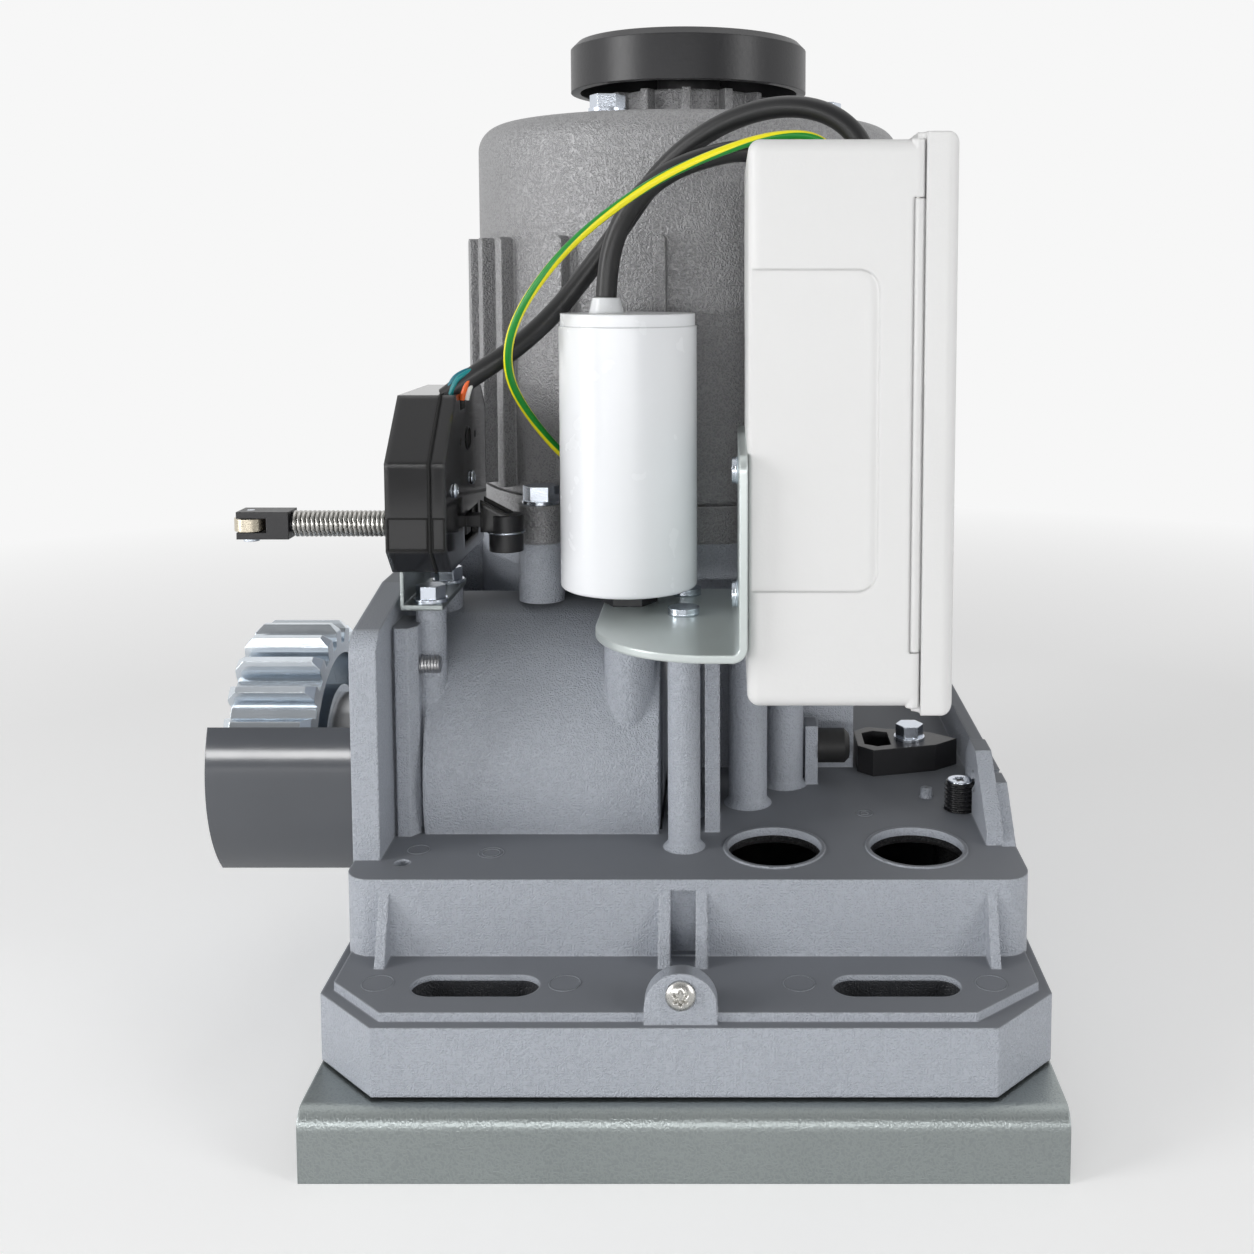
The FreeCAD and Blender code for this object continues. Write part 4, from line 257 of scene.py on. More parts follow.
# %% Zinc-coated sheet
zinc = Finish("zinc_sheet", Metallic=1.0)
edge, soft = zinc.edges(0.0010)
cloud = zinc.noise(9, 3, 0.55)
grain = zinc.worms(900)
grainy = zinc.noise(900, 2)
tone = zinc.blend(cloud, (0.262, 0.290, 0.292), (0.360, 0.390, 0.388))
tone = zinc.blend(grain * 0.22, tone, (0.50, 0.54, 0.53))
tone = zinc.blend(zinc.steps(edge, (0.02, 0.0), (0.3, 0.6)), tone, (0.66, 0.70, 0.71))
zinc.set(Base_Color=tone, Roughness=zinc.blend(cloud, 0.32, 0.42) + grainy * 0.05)
zinc.bump((grain, 0.00005), (grainy, 0.00002), normal=soft)
finishes["zinc_sheet"] = zinc

# painted reflection: the capacitor's bracket lies level under a pale can and box, so it gets a lighter,
# duller copy of the zinc that stands for their reflection
bright = Finish("zinc_painted_reflection", Metallic=0.45)
edge, soft = bright.edges(0.0010)
cloud = bright.noise(12, 3, 0.55)
tone = bright.blend(cloud, (0.50, 0.55, 0.54), (0.66, 0.71, 0.70))
tone = bright.blend(bright.steps(edge, (0.02, 0.0), (0.3, 0.6)), tone, (0.80, 0.84, 0.84))
bright.set(Base_Color=tone, Roughness=bright.blend(cloud, 0.24, 0.36))
bright.bump((bright.noise(900, 2), 0.00002), normal=soft)
finishes["zinc_painted_reflection"] = bright
print("zinc: plain, and with a painted reflection")

# %% [markdown]
# Gears, bolts and shafts share one recipe with different numbers: a metal with a little cloud in its colour, a
# roughness, and a fine grain that runs across or along it.

# %% Machined and plated metals
def metal(name, dark, light, rough, grain_depth=0.00003, round_edge=0.0004, stretch=(1, 1, 1)):
    finish = Finish(name, Metallic=1.0)
    edge, soft = finish.edges(round_edge)
    cloud = finish.noise(60, 3)
    grain = finish.noise(1500, 2, 0.5, stretch)
    tone = finish.blend(cloud, dark, light)
    tone = finish.blend(finish.steps(edge, (0.02, 0.0), (0.3, 0.5)), tone, tuple(min(1.0, 1.25 * c) for c in light))
    finish.set(Base_Color=tone, Roughness=finish.blend(grain, rough * 0.8, rough * 1.2))
    finish.bump((grain, grain_depth), normal=soft)
    finishes[name] = finish


metal("gear_zinc", (0.58, 0.63, 0.68), (0.76, 0.81, 0.86), 0.24, stretch=(0.1, 1, 1))
metal("plated_steel", (0.55, 0.60, 0.68), (0.74, 0.78, 0.85), 0.25)
metal("stainless", (0.52, 0.51, 0.49), (0.66, 0.65, 0.62), 0.28)
metal("ground_steel", (0.40, 0.40, 0.41), (0.55, 0.55, 0.55), 0.30)
metal("bronze", (0.45, 0.28, 0.12), (0.60, 0.40, 0.18), 0.34)
metal("iron_laminations", (0.16, 0.16, 0.17), (0.26, 0.26, 0.27), 0.5, stretch=(0.2, 0.2, 4))
metal("copper", (0.45, 0.18, 0.08), (0.62, 0.28, 0.13), 0.4, stretch=(1, 1, 0.1))
metal("roller_brass", (0.50, 0.45, 0.36), (0.66, 0.60, 0.48), 0.28)
metal("nickel", (0.42, 0.41, 0.39), (0.58, 0.57, 0.54), 0.28)
print("finishes:", len(finishes))

# %% [markdown]
# Plastics are not metals: their colour lies under a clear skin, so gloss comes from roughness alone. Each has a
# faint mould texture, and its edges are a little rounded.

# %% Plastics, rubber and gloss paint
def plastic(name, colour, rough, texture=500, depth=0.00003, vary=0.06, round_edge=0.0006, shine=0.5):
    finish = Finish(name, IOR=1.46, Specular_IOR_Level=shine)
    edge, soft = finish.edges(round_edge)
    cloud = finish.noise(30, 3)
    fine = finish.noise(texture, 2)
    tone = finish.blend(cloud, tuple(c * (1 - vary) for c in colour), tuple(min(1.0, c * (1 + vary)) for c in colour))
    finish.set(Base_Color=tone, Roughness=finish.blend(fine, rough * 0.85, rough * 1.15))
    finish.bump((fine, depth), normal=soft)
    finishes[name] = finish


plastic("white_plastic", (0.745, 0.745, 0.742), 0.42, 900, 0.00004, 0.012, 0.0012)
plastic("can_plastic", (0.86, 0.875, 0.90), 0.26, 120, 0.000008, 0.01, 0.0008)
plastic("black_plastic", (0.022, 0.022, 0.024), 0.36, 700, 0.00004)
plastic("grey_plastic", (0.008, 0.008, 0.009), 0.10, 200, 0.000004, round_edge=0.0030, shine=0.7)
plastic("rubber", (0.018, 0.018, 0.018), 0.55, 600)
plastic("black_steel", (0.008, 0.008, 0.009), 0.28, 900)
plastic("guard_paint", (0.080, 0.086, 0.098), 0.13, 120, 0.00002, 0.05, shine=1.0)
plastic("board", (0.03, 0.16, 0.07), 0.4)
plastic("terminal_green", (0.06, 0.30, 0.12), 0.35)
plastic("cable_black", (0.016, 0.016, 0.017), 0.38, 1500, 0.00002)

print("finishes:", len(finishes))

# %% Earth wire: green with two yellow stripes that wind slowly round it
earth = Finish("earth_green", IOR=1.46, Roughness=0.34)
unrolled = earth.node("SeparateXYZ", {}, {0: earth.node("TexCoord", {}, {}, "UV")}, "Y")
length_way = earth.node("SeparateXYZ", {}, {0: earth.node("TexCoord", {}, {}, "UV")}, "X")
STRIPES, STRIPE_TURNS = 2, 0.9
turn = (unrolled * STRIPES + length_way * (STRIPES * STRIPE_TURNS) + 0.1).fraction()
stripe = earth.steps(turn, (0.0, 0.0), (0.46, 0.0), (0.50, 1.0), (0.96, 1.0), (1.0, 0.0))
earth.set(Base_Color=earth.blend(stripe, (0.012, 0.26, 0.03), (0.92, 0.83, 0.015)))
finishes["earth_green"] = earth
print("stripes:", STRIPES, "wound", STRIPE_TURNS, "turns along the wire")

# %% Give every node its finish
slots = {row["node"]: row["material_slot"] for row in frame["record"]["subparts"]}
slots.update(capacitor_nut="black_plastic", capacitor_bracket="zinc_painted_reflection")
for name, node in nodes.items():
    finish = finishes[slots[name]]
    for slot in node.material_slots:
        slot.link = "OBJECT"
        slot.material = finish.material
print("dressed:", len(slots))

# %% [markdown]
# Three cables hang free between two fixed ends. Each is one smooth spline with a round section, laid through the
# points of its route.

# %% Cables
def wire_piece(name, points, radius, finish, resolution, roundness):
    """A NURBS line through given points in metres, with a round bevel and closed ends."""
    curve = bpy.data.curves.new(name, "CURVE")
    curve.dimensions = "3D"
    spline = curve.splines.new("NURBS")
    spline.points.add(len(points) - 1)
    spline.points.foreach_set("co", np.column_stack([points, np.ones(len(points))]).ravel())
    spline.order_u = 3
    spline.use_endpoint_u = True
    curve.resolution_u, curve.bevel_resolution = resolution, roundness
    curve.bevel_depth, curve.use_fill_caps = radius, True
    curve.materials.append(finish.material)
    piece = bpy.data.objects.new(name, curve)
    bpy.context.collection.objects.link(piece)
    return piece


def cable(name, node, route, diameter, finish):
    """A cable in place of a node. A copy of its line, with the bevel off, is made into a mesh."""
    points = np.array(route) * MM
    piece = wire_piece(name, points, diameter / 2, finish, 10, 5)
    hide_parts(node)
    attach(piece, "housing")
    line = piece.copy()
    line.data = piece.data.copy()
    line.data.bevel_depth = 0
    path = bpy.data.meshes.new_from_object(line)
    bpy.data.objects.remove(line)


CAPACITOR_ROUTE = [
    (-30.3, -79, 273.5), (-29.8, -79, 283.7), (-27.2, -79.6, 294.6), (-22.9, -81, 303.4), (-17.4, -82.5, 310),
    (-10.8, -84.5, 315.6), (-2.6, -86.4, 320), (8, -88, 323.4), (18.4, -89, 325.2), (27, -89.5, 323.6),
    (33.6, -90, 318.4), (37.4, -90, 310.6)]
LIMIT_ROUTE = [
    (-90.2, -74, 236.6), (-86, -74.2, 239.6), (-81.6, -74.4, 243.2), (-74.4, -74, 248), (-65.4, -72, 254),
    (-56.6, -69, 261.6), (-48.4, -66.6, 270), (-40.6, -65.6, 279.8), (-32, -65.8, 290.8), (-24.2, -67, 301.2),
    (-16.8, -69.8, 311.6), (-9.2, -73, 320.6), (0.6, -77, 328.9), (12.7, -81.4, 335.8), (25.9, -86, 339.9),
    (38.8, -91, 340.4), (50.2, -95, 336.8), (58.4, -97.5, 329.6), (62, -98.3, 320.4), (62.4, -98.5, 310.6)]
EARTH_ROUTE = [
    (-38.6, -45.6, 203.2), (-43.6, -49.4, 207.4), (-49.8, -54.8, 213.2), (-55.6, -61.6, 221.4), (-61, -71, 231.4),
    (-64.4, -81, 241), (-64.9, -89.6, 250.4), (-62.9, -95.4, 260), (-58.4, -98.6, 269.6), (-52, -99.8, 279),
    (-44.4, -100.2, 288.2), (-34, -100.2, 298), (-21.4, -100.2, 307.4), (-9.4, -100.2, 314.8), (2.2, -100.2, 320.2),
    (13.6, -100.2, 324.6), (23, -100, 327.6), (32.4, -99.7, 329.4), (41.6, -99.3, 329.4), (48, -99, 326.2),
    (51.2, -99, 319.8), (51.8, -99, 312.6)]
cable("capacitor_lead", "capacitor_cable", CAPACITOR_ROUTE, 0.0076, finishes["cable_black"])
cable("limit_lead", "limit_switch_cable", LIMIT_ROUTE, 0.0076, finishes["cable_black"])
cable("earth_lead", "earth_wire", EARTH_ROUTE, 0.0033, finishes["earth_green"])

# %% [markdown]
# A tube carried along a path makes springs and wires. At each point of the path two directions across it are worked
# out once for all points together, and a circle of a few corners is laid in them.

# %% A tube along a path
def mesh_piece(name, points, faces, finish, body, smooth=True):
    """Arrays of points (metres) and faces as a mesh that rides on a body. Points in one place become one."""
    points, joined = np.unique(np.round(np.asarray(points, float), 8), axis=0, return_inverse=True)
    joined = joined.ravel()
    closed = [list(dict.fromkeys(joined[f].tolist())) for f in map(list, faces)]
    mesh = bpy.data.meshes.new(name)
    mesh.from_pydata(points.tolist(), [], [f for f in closed if len(f) > 2])
    mesh.update()
    mesh.polygons.foreach_set("use_smooth", np.full(len(mesh.polygons), smooth))
    mesh.materials.append(finish.material)
    piece = bpy.data.objects.new(name, mesh)
    bpy.context.collection.objects.link(piece)
    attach(piece, body)
    return piece


def tube(path, radius, sides=10):
    """Point i, corner k: path[i] + radius * (cos a * across[i] + sin a * up[i]), with a = 2 pi k / sides.

    Each end is closed by a face.
    """
    path = np.asarray(path, float)
    along = np.gradient(path, axis=0)
    along /= np.linalg.norm(along, axis=1)[:, None]
    helper = np.where(np.abs(along[:, 2:3]) > 0.9, [[1.0, 0, 0]], [[0, 0, 1.0]])
    across = np.cross(along, helper)
    across /= np.linalg.norm(across, axis=1)[:, None]
    up = np.cross(across, along)
    angle = np.arange(sides) * 2 * math.pi / sides
    cos, sin = np.cos(angle)[None, :, None], np.sin(angle)[None, :, None]
    rings = path[:, None] + radius * (cos * across[:, None] + sin * up[:, None])
    i, k = np.meshgrid(np.arange(len(path) - 1), np.arange(sides), indexing="ij")
    i, k, n = i.ravel(), k.ravel(), (k.ravel() + 1) % sides
    walls = np.column_stack([i * sides + k, (i + 1) * sides + k, (i + 1) * sides + n, i * sides + n])
    last = (len(path) - 1) * sides
    caps = [list(range(sides)), list(range(last + sides - 1, last - 1, -1))]
    return rings.reshape(-1, 3), walls.tolist() + caps


def coil(start, end, radius, turns, wire, name, finish, body):
    """A helix along X: angle grows evenly from start to end, at the given radius."""
    steps = int(turns * 20)
    t = np.linspace(0, 1, steps)
    angle = 2 * math.pi * turns * t
    centre = np.array(start) + np.outer(t, np.array(end) - np.array(start))
    path = centre + radius * np.column_stack([np.zeros(steps), np.cos(angle), np.sin(angle)])
    return mesh_piece(name, *tube(path, wire / 2, 8), finish, body)


low, high = (np.array(v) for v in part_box("lever_spring"))
middle = (low + high) / 2
wire = 0.0017
radius = (high[2] - low[2]) / 2 - wire / 2
SPRING_TURNS = 25.5
spring = coil((low[0] + wire / 2, middle[1], middle[2]), (high[0] - wire / 2, middle[1], middle[2]), radius,
              SPRING_TURNS, wire, "spring_coil", finishes["nickel"], "limit_lever")
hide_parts("lever_spring")
print("spring:", len(spring.data.polygons), "faces")

# %% [markdown]
# Screw heads, threads and rings are all surfaces turned about an axis. Each is a grid of points, worked out as
# whole arrays: one direction of the grid runs round the axis, the other along the profile.

# %% Turned surfaces
def across(axis):
    """The two unit directions across an axis, such that first x second = axis."""
    axis = np.asarray(axis, float)
    first = np.array([0.0, 0, 1]) if abs(axis[2]) < 0.9 else np.array([1.0, 0, 0])
    return first, np.cross(axis, first)


def grid_faces(rows, columns, start=0):
    """Quads between neighbouring rows; the last column joins the first. Rows run up or inwards: faces look out."""
    i, k = (a.ravel() for a in np.meshgrid(np.arange(rows - 1), np.arange(columns), indexing="ij"))
    n = (k + 1) % columns
    return start + np.column_stack([i * columns + k, i * columns + n, (i + 1) * columns + n, (i + 1) * columns + k])


def turned(centre, axis, out, along):
    """Point (row, a) = centre + along * axis + out * (cos a * first + sin a * second).

    out and along are arrays of rows x columns.
    """
    first, second = across(axis)
    angle = np.arange(out.shape[1]) * 2 * math.pi / out.shape[1]
    ring = np.cos(angle)[:, None] * first + np.sin(angle)[:, None] * second
    return np.asarray(centre) + along[..., None] * np.asarray(axis, float) + out[..., None] * ring[None]


def screw_head(centre, axis, radius, height, lobes, flat=0.14, recess=0.42, depth=0.6, columns=72):
    """A head over its seat: height * sqrt(1 - (1 - flat) r^2), closed underneath.

    Its recess has its edge at recess * (1 + 0.3 cos(lobes a)).
    """
    r = np.concatenate([[0.0, 1.0], np.linspace(1, 0, 31)])[:, None]
    angle = np.arange(columns)[None] * 2 * math.pi / columns
    top = height * np.sqrt(1 - (1 - flat) * r ** 2)
    edge = recess * (1 + 0.30 * np.cos(lobes * angle))
    sunk = depth * height / (1 + np.exp((r - edge) / 0.022))
    along = top - sunk
    along[:2] = 0
    return turned(centre, axis, radius * r * np.ones_like(angle), along)


def thread(foot, axis, long, radius, pitch, depth, columns=40):
    """A screw thread: out = radius - depth * |2 f - 1|, f being the fraction of (along / pitch - a / 2 pi).

    The tip is bevelled.
    """
    along = np.arange(0, long, pitch / 6)[:, None]
    angle = np.arange(columns)[None] * 2 * math.pi / columns
    f = (along / pitch - angle / (2 * math.pi)) % 1
    out = radius - depth * np.abs(2 * f - 1)
    out = np.minimum(out, radius - depth * 0.6 + (long - along) * 0.7)
    along = along * np.ones_like(angle)
    closed = np.vstack([np.zeros((1, columns)), out, out[-1:] * 0.72, np.zeros((1, columns))])
    return turned(foot, axis, closed, np.vstack([along[:1], along, along[-1:], along[-1:]]))


def put_grids(name, grids, finish, body, node=None):
    """Several grids as one piece; it stands for a node where one is named."""
    points, faces, start = [], [], 0
    for grid in grids:
        rows, columns = grid.shape[:2]
        points.append(grid.reshape(-1, 3))
        faces.append(grid_faces(rows, columns, start))
        start += rows * columns
    piece = mesh_piece(name, np.vstack(points), np.vstack(faces), finish, body)
    if node:
        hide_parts(node)
    print(name, len(piece.data.polygons), "faces")
    return piece


def box_mm(name):
    return [np.array(v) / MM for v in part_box(name)]


# %% [markdown]
# The cover's two screws are stainless, with a domed head and a six-lobe recess. The bracket's are zinc plated, with
# a cross recess. Threads stand for the levelling screws and for the tapped stud in the left wall.

# %% Screws and threads
RIGHT, FORWARD, UP = (1, 0, 0), (0, -1, 0), (0, 0, 1)
low, high = box_mm("cover_screw")
seat = (low + high) / 2
shank_out = np.array([[0], [0.0024], [0.0024], [0]]) * np.ones((1, 24))
shank_along = np.array([[0], [0], [0.0122], [0.0122]]) * np.ones((1, 24))
put_grids("cover_screw_head", [
    screw_head((seat[0] * MM, -0.1660, seat[2] * MM), FORWARD, 0.0048, 0.0029, 6, recess=0.40),
    turned((seat[0] * MM, -0.1540, seat[2] * MM), FORWARD, shank_out, shank_along)],
    finishes["stainless"], "housing", "cover_screw")

black_rod, bright_tip = [], []
TIP_HIGH = 0.0009
low, high = box_mm("levelling_screws")
for x, y in ((103.2, -62.4), (103.2, 104), (-103.2, 104)):
    foot = (x * MM, y * MM, low[2] * MM)
    long = (high[2] - low[2]) * MM
    black_rod.append(thread(foot, UP, long - 0.0006, 0.00595, 0.00175, 0.0011))
    bright_tip.append(screw_head((x * MM, y * MM, high[2] * MM - TIP_HIGH), UP, 0.0046, TIP_HIGH, 6,
                                 flat=0.8, recess=0.42, depth=2.6))
put_grids("levelling_threads", black_rod, finishes["black_steel"], "housing", "levelling_screws")
put_grids("levelling_tips", bright_tip, finishes["plated_steel"], "housing")

low, high = box_mm("wall_stud")
middle = (low + high) / 2
stud_foot = (low[0] * MM, middle[1] * MM, middle[2] * MM)
put_grids("wall_stud_thread", [thread(stud_foot, RIGHT, (high[0] - low[0]) * MM, 0.0034, 0.0012, 0.0005)],
          finishes["ground_steel"], "housing", "wall_stud")

seats = [((-0.002, y, 0.1616), UP, 0.0056, 0.0027) for y in (-0.0985, -0.067)]
seats += [((0.0173, -0.0985, z), (-1, 0, 0), 0.0048, 0.0024) for z in (0.169, 0.213)]
put_grids("bracket_screw_heads", [screw_head(*place, 4, recess=0.34, depth=0.55) for place in seats],
          finishes["plated_steel"], "housing")

# %% [markdown]
# The limit switch's case is two glossy shells. Their joint, and the frame of the small door in the lower part, are
# fine grooves that stay dark. The right side of the case carries a round boss, two small holes and two screws.

# %% Limit switch: joint, door, boss and screws
def line(points, radius, finish, name, body="housing", closed=False):
    """A thin tube through points given in millimetres, with straight runs between them."""
    points = np.array(points, float) * MM
    if closed:
        points = np.vstack([points, points[:1]])
    runs = np.linalg.norm(np.diff(points, axis=0), axis=1)
    at = np.concatenate([[0], np.cumsum(runs)])
    fine = np.unique(np.concatenate([at, np.clip(at - radius, 0, None), np.clip(at + radius, None, at[-1])]))
    path = np.column_stack([np.interp(fine, at, points[:, k]) for k in range(3)])
    return mesh_piece(name, *tube(path, radius, 6), finish, body)


def ring(centre, axis, radius, wire, sides=48, ring_sides=8):
    """A round bar bent into a ring about an axis."""
    first, second = across(axis)
    a = np.arange(sides)[:, None] * 2 * math.pi / sides
    b = np.arange(ring_sides)[None] * 2 * math.pi / ring_sides
    out = radius + wire * np.cos(b)
    points = (np.asarray(centre) + (out * np.cos(a))[..., None] * first + (out * np.sin(a))[..., None] * second
              + (wire * np.sin(b) * np.ones_like(a))[..., None] * np.asarray(axis, float))
    return np.concatenate([points, points[:1]])[::-1]


groove = Finish("groove_dark", Base_Color=(0.003, 0.003, 0.003), Roughness=0.8)
low, high = box_mm("switch_body")
cover_low, cover_high = box_mm("switch_cover")
split, right = cover_low[0], cover_high[0]
front, foot, top = low[1], low[2], high[2]
joint_route = [
    (split, -82, top + 0.1), (split, front + 22, top + 0.1), (split, front - 0.1, top - 22),
    (split, front - 0.1, foot + 9), (split, front + 9, foot - 0.1), (split, -36, foot - 0.1),
    (split, -26.1, foot + 9)]
line(joint_route, 0.00045, groove, "switch_joint")
for name, left_end, right_end in (
        ("door_frame_body", low[0] + 0.8, split - 1), ("door_frame_cover", split + 0.8, right - 0.6)):
    line([(left_end, front, 197.3), (right_end, front, 197.3), (right_end, front, 186.2), (left_end, front, 186.2)],
         0.00038, groove, name, closed=True)
OPENING_Z = 0.2205
# painted shade: flat black discs stand for the three openings, whose insides are dark with shade
dark = [screw_head(((right + 0.02) * MM, y, OPENING_Z), RIGHT, radius, 0.0001, 1, recess=0.1, depth=0)
        for y, radius in ((-0.064, 0.0036), (-0.0785, 0.0014), (-0.0495, 0.0014))]
put_grids("switch_openings", dark, groove, "housing")
put_grids("switch_boss", [ring((right * MM, -0.064, OPENING_Z), RIGHT, 0.0040, 0.0005)],
          finishes["grey_plastic"], "housing")
screws = [screw_head((right * MM, y, z), RIGHT, 0.0026, 0.0016, 4, recess=0.36, depth=0.5)
          for y, z in ((-0.058, 0.2047), (-0.092, 0.2047))]
put_grids("switch_screws", screws, finishes["plated_steel"], "housing")

# %% [markdown]
# The lever's arm is a web with a raised border, moulded with its hub. A spring clip sits under it.

# %% Lever arm
def plate_piece(outline, half, middle, name, finish, body, round_edge=0.0004):
    """A flat outline in X and Z (mm), solid from middle - half to middle + half in Y, its edges bevelled."""
    outline = np.array(outline, float)
    count = len(outline)
    near = np.column_stack([outline[:, 0], np.full(count, middle - half), outline[:, 1]])
    far = near + [0, 2 * half, 0]
    k = np.arange(count)
    sides = np.column_stack([k, (k + 1) % count, (k + 1) % count + count, k + count]).tolist()
    caps = [list(range(count)), list(range(count, 2 * count))[::-1]]
    piece = mesh_piece(name, np.vstack([near, far]) * MM, caps + [f[::-1] for f in sides], finish, body, smooth=False)
    bevel = piece.modifiers.new("rounding", "BEVEL")
    bevel.width, bevel.segments, bevel.limit_method = round_edge, 2, "ANGLE"
    return piece


web = [(-79.8, 184.6), (-68.4, 184.6), (-67, 186.4), (-67, 189.2), (-69, 191.4), (-79.8, 197.2)]
for side, middle in (("near", -64.2), ("far", -55.8)):
    plate_piece(web, 0.7, middle, f"arm_border_{side}", finishes["grey_plastic"], "limit_lever")
floor_web = [(-79.8, 189), (-67, 189), (-66.6, 190.4), (-79.8, 190.4)]
plate_piece(floor_web, 4.0, -60, "arm_web", finishes["grey_plastic"], "limit_lever")
put_grids("arm_clip", [ring((-0.0707, -0.060, 0.1843), UP, 0.0068, 0.00045)],
          finishes["plated_steel"], "limit_lever")
print("arm: two borders, a web and a clip")

# %% [markdown]
# At the lower end of the switch lead its four cores show before they go into the case.

# %% Cores of the switch lead
def core(name, route, radius, colour):
    """A thin wire through points in millimetres, in its own colour."""
    finish = Finish(name, Base_Color=colour, Roughness=0.32)
    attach(wire_piece(name, np.array(route, float) * MM, radius, finish, 12, 3), "housing")


CORE_RADIUS = 0.0010
core("core_teal", [(-77.6, -75.4, 247.6), (-82, -77, 246), (-86.6, -77.6, 242.4), (-88, -77.4, 236)],
     CORE_RADIUS, (0.0, 0.24, 0.26))
core("core_blue", [(-77.6, -74.4, 247.8), (-83, -75.6, 246.6), (-88.2, -76, 242.6), (-89.6, -75.8, 236)],
     CORE_RADIUS, (0.0, 0.16, 0.22))
core("core_orange", [(-77.6, -75.6, 246.2), (-80.4, -77, 244), (-82.6, -77.4, 240.4), (-83.6, -77, 236)],
     CORE_RADIUS, (0.85, 0.13, 0.01))
core("core_white", [(-77.6, -74, 245.4), (-79.8, -76, 242.6), (-81, -76.6, 239.8), (-82, -76.2, 236)],
     CORE_RADIUS, (0.82, 0.82, 0.80))
print("cores: 4")

# %% [markdown]
# Pushing a casting out of its die leaves faint rings. Columns meet the shelf in a small hollow curve. Both are
# turned surfaces in the casting's own finish.

# %% Casting marks and column feet
def flare(x, y, z, radius, size):
    """Hollow quarter circle turned about an upright: out = radius + size (1 - sin q), up = size (1 - cos q).

    q runs from 0 to 90 degrees. Both ends are closed by a disc.
    """
    q = np.radians(np.linspace(0, 90, 9))[:, None] * np.ones((1, 36))
    out, up = radius + size * (1 - np.sin(q)) - 0.05, size * (1 - np.cos(q)) - 0.05
    out, up = np.vstack([0 * out[:1], out, 0 * out[:1]]), np.vstack([up[:1], up, up[-1:]])
    return turned((x * MM, y * MM, z * MM), UP, out * MM, up * MM)


shelf, ledge = 76.5, 49.5
marks = [ring((x * MM, -0.1455, ledge * MM), UP, 0.0052, 0.00018, 40, 6) for x in (-101.4, -39.9, 37.1, 100.2)]
SHELF_RINGS = (
    (-97, -101.8, 3.9), (-70.6, -104.6, 4.5), (-70.6, -104.6, 3.1), (65.9, -67.7, 3.1), (65.9, -67.7, 1.4))
marks += [ring((x * MM, y * MM, shelf * MM), UP, radius * MM, 0.00018, 40, 6) for x, y, radius in SHELF_RINGS]
feet = [flare(-2, -98.5, shelf, 5.8, 1.3), flare(21.5, -56, shelf, 7.5, 1.4), flare(36.6, -35, shelf, 7.5, 1.4)]
peg_out = np.array([[0.0], [2.9], [2.5], [2.3], [0.0]]) * np.ones((1, 24))
peg_up = np.array([[0], [0], [0.6], [3.6], [3.6]]) * np.ones((1, 24))
peg = turned((0.092, -0.0503, shelf * MM), UP, peg_out * MM, peg_up * MM)
put_grids("casting_marks", marks + feet + [peg], paint, "housing")

# %% [markdown]
# The studio is a pale floor under a pale room. Far from the motor the floor turns into the room's own white, so that
# no horizon shows, while its middle keeps the soft shadow. Gloss sees floor and room dim on the open side, where the
# camera stands. The lamps are large: left, low in front, right and above.

# %% Floor
WHITE = 0.93
floor_finish = Finish("floor", Roughness=0.9, Base_Color=(0.86, 0.86, 0.86))
rays = floor_finish.node("LightPath", {}, {}, "Is Camera Ray")
shiny = floor_finish.node("LightPath", {}, {}, "Is Glossy Ray")
away = floor_finish.node("VectorMath", {"operation": "LENGTH"}, {0: floor_finish.place}, "Value")
fade = floor_finish.steps(away * 0.5, (0.25, 0.0), (0.58, 1.0))
# gloss sees a dim floor on the open side, as it does with the room
depth_way = floor_finish.node("SeparateXYZ", {}, {0: floor_finish.place}, "Y")
far_seen = rays + shiny * floor_finish.steps(depth_way * 0.5 + 0.5, (0.25, 0.12), (0.56, 1.0))
glow = floor_finish.node("Emission", {}, {"Color": (WHITE, WHITE, WHITE, 1), "Strength": 1.0})
clear = floor_finish.node("Emission", {}, {"Color": (0.30, 0.30, 0.30, 1), "Strength": far_seen})
near = floor_finish.node("AddShader", {}, {0: Value(floor_finish, floor_finish.shader.outputs[0]), 1: clear})
mixed = floor_finish.node("MixShader", {}, {0: fade * far_seen, 1: near, 2: glow})
floor_finish.tree.links.new(mixed.link, floor_finish.tree.nodes["Material Output"].inputs["Surface"])
mesh = bpy.data.meshes.new("floor")
mesh.from_pydata([(-12, -12, 0), (12, -12, 0), (12, 12, 0), (-12, 12, 0)], [], [(0, 1, 2, 3)])
mesh.materials.append(floor_finish.material)
floor = bpy.data.objects.new("floor", mesh)
bpy.context.collection.objects.link(floor)
print("floor: 24 m square")

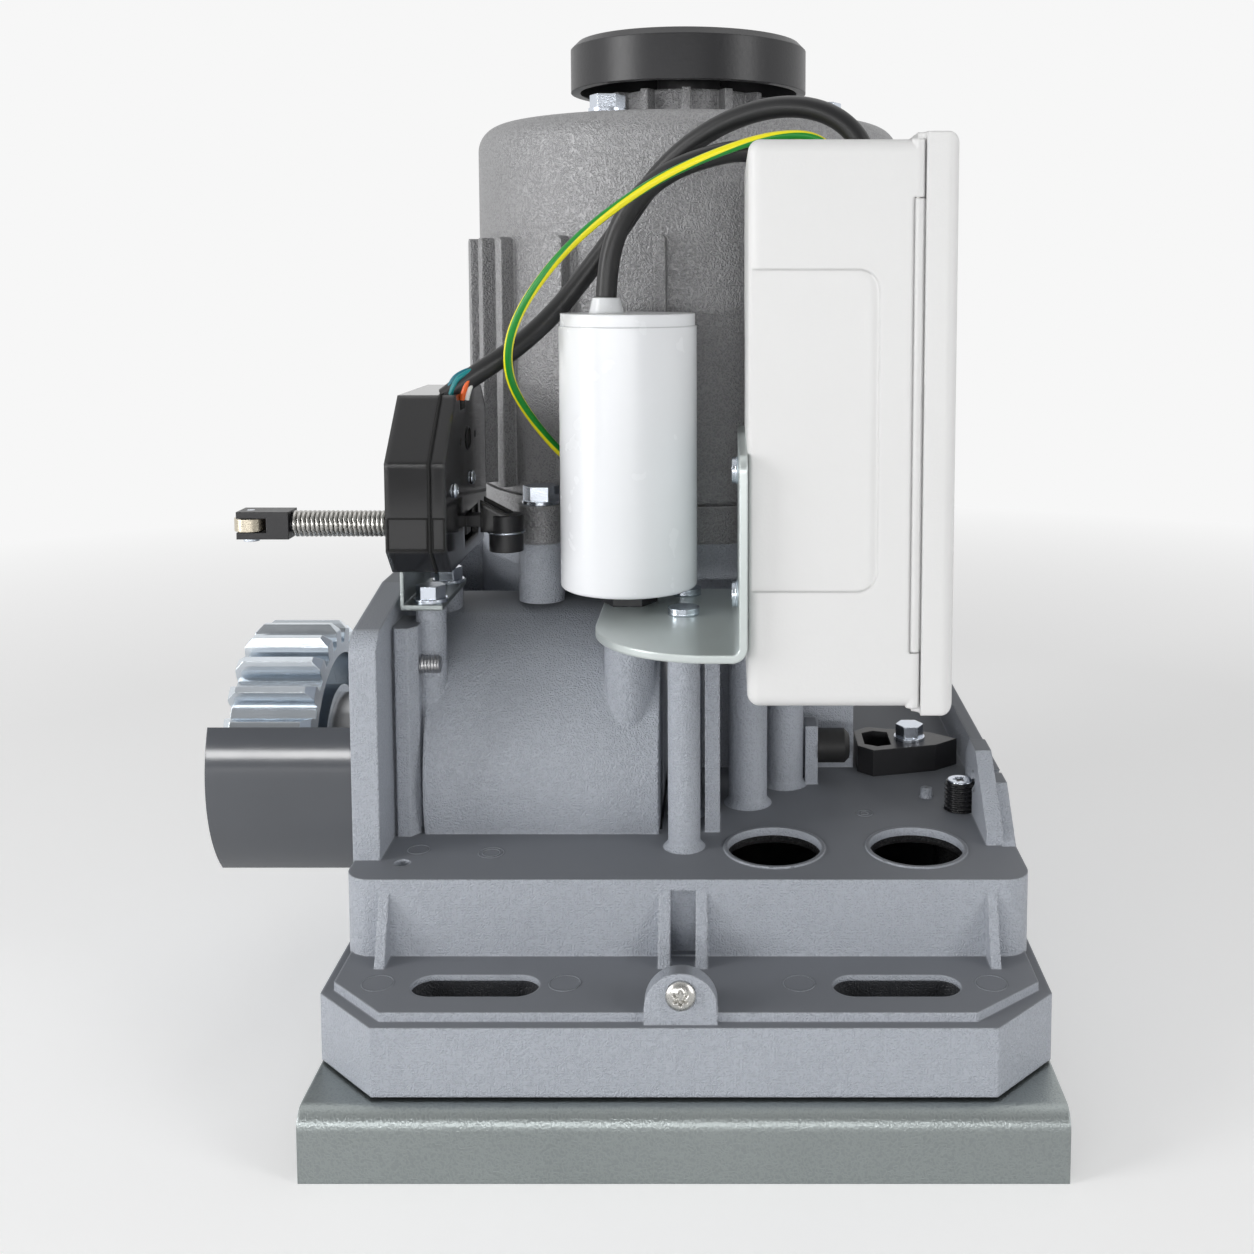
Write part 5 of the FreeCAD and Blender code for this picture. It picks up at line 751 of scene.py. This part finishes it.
# %% Room
ROOM_LIGHT = 0.25
world = bpy.data.worlds.new("room")
bpy.context.scene.world = world
world.use_nodes = True
room = world.node_tree
def room_node(kind, operation=None, **inputs):
    """A node of the room's tree. Its inputs go by name, as numbers or sockets; _0 and _1 are a Math node's two."""
    made = room.nodes.new("ShaderNode" + kind)
    if operation:
        made.operation = operation
    for key, value in inputs.items():
        socket = made.inputs[int(key[1:])] if key[1:].isdigit() else made.inputs[key]
        if isinstance(value, bpy.types.NodeSocket):
            room.links.new(value, socket)
        else:
            socket.default_value = value
    return made


path = room_node("LightPath").outputs
aim = room_node("SeparateXYZ", Vector=room_node("TexCoord").outputs["Generated"]).outputs
# what gloss sees: the same white as the eye, with a dim side where the room is open, towards -Y
open_side = room_node("MapRange", Value=aim["Y"]).outputs[0].node
for key, value in {"From Min": -0.85, "From Max": 0.1, "To Min": 0.22, "To Max": WHITE}.items():
    open_side.inputs[key].default_value = value
eye = room_node("Math", "MAXIMUM", _0=path["Is Camera Ray"], _1=path["Is Transmission Ray"]).outputs[0]
seen_white = room_node("Math", "MULTIPLY", _0=eye, _1=WHITE).outputs[0]
gloss = room_node("Math", "MULTIPLY", _0=path["Is Glossy Ray"], _1=open_side.outputs[0]).outputs[0]
seen = room_node("Math", "MAXIMUM", _0=seen_white, _1=gloss).outputs[0]
strength = room_node("Math", "MAXIMUM", _0=seen, _1=ROOM_LIGHT).outputs[0]
room.nodes["Background"].inputs["Color"].default_value = (1, 1, 1, 1)
room.links.new(strength, room.nodes["Background"].inputs["Strength"])
print("room light:", ROOM_LIGHT)


# %% Lamps
def lamp(name, place, target, size, power):
    data = bpy.data.lights.new(name, "AREA")
    data.shape, data.size, data.size_y, data.energy = "RECTANGLE", size[0], size[1], power
    item = bpy.data.objects.new(name, data)
    item.location = place
    item.rotation_euler = (Vector(target) - Vector(place)).to_track_quat("-Z", "Y").to_euler()
    bpy.context.collection.objects.link(item)


lamp("left", (-1.5, -0.7, 0.5), (0, 0, 0.2), (0.6, 1.2), 15)
lamp("low front", (-0.3, -1.4, 0.24), (0, 0, 0.18), (1.6, 0.14), 7)
lamp("right", (1.4, -0.9, 0.6), (0, 0, 0.2), (0.5, 1.2), 8.5)
lamp("top", (0, 0.4, 1.7), (0, 0, 0.2), (1.2, 1.0), 2)
print("lamps: 4")
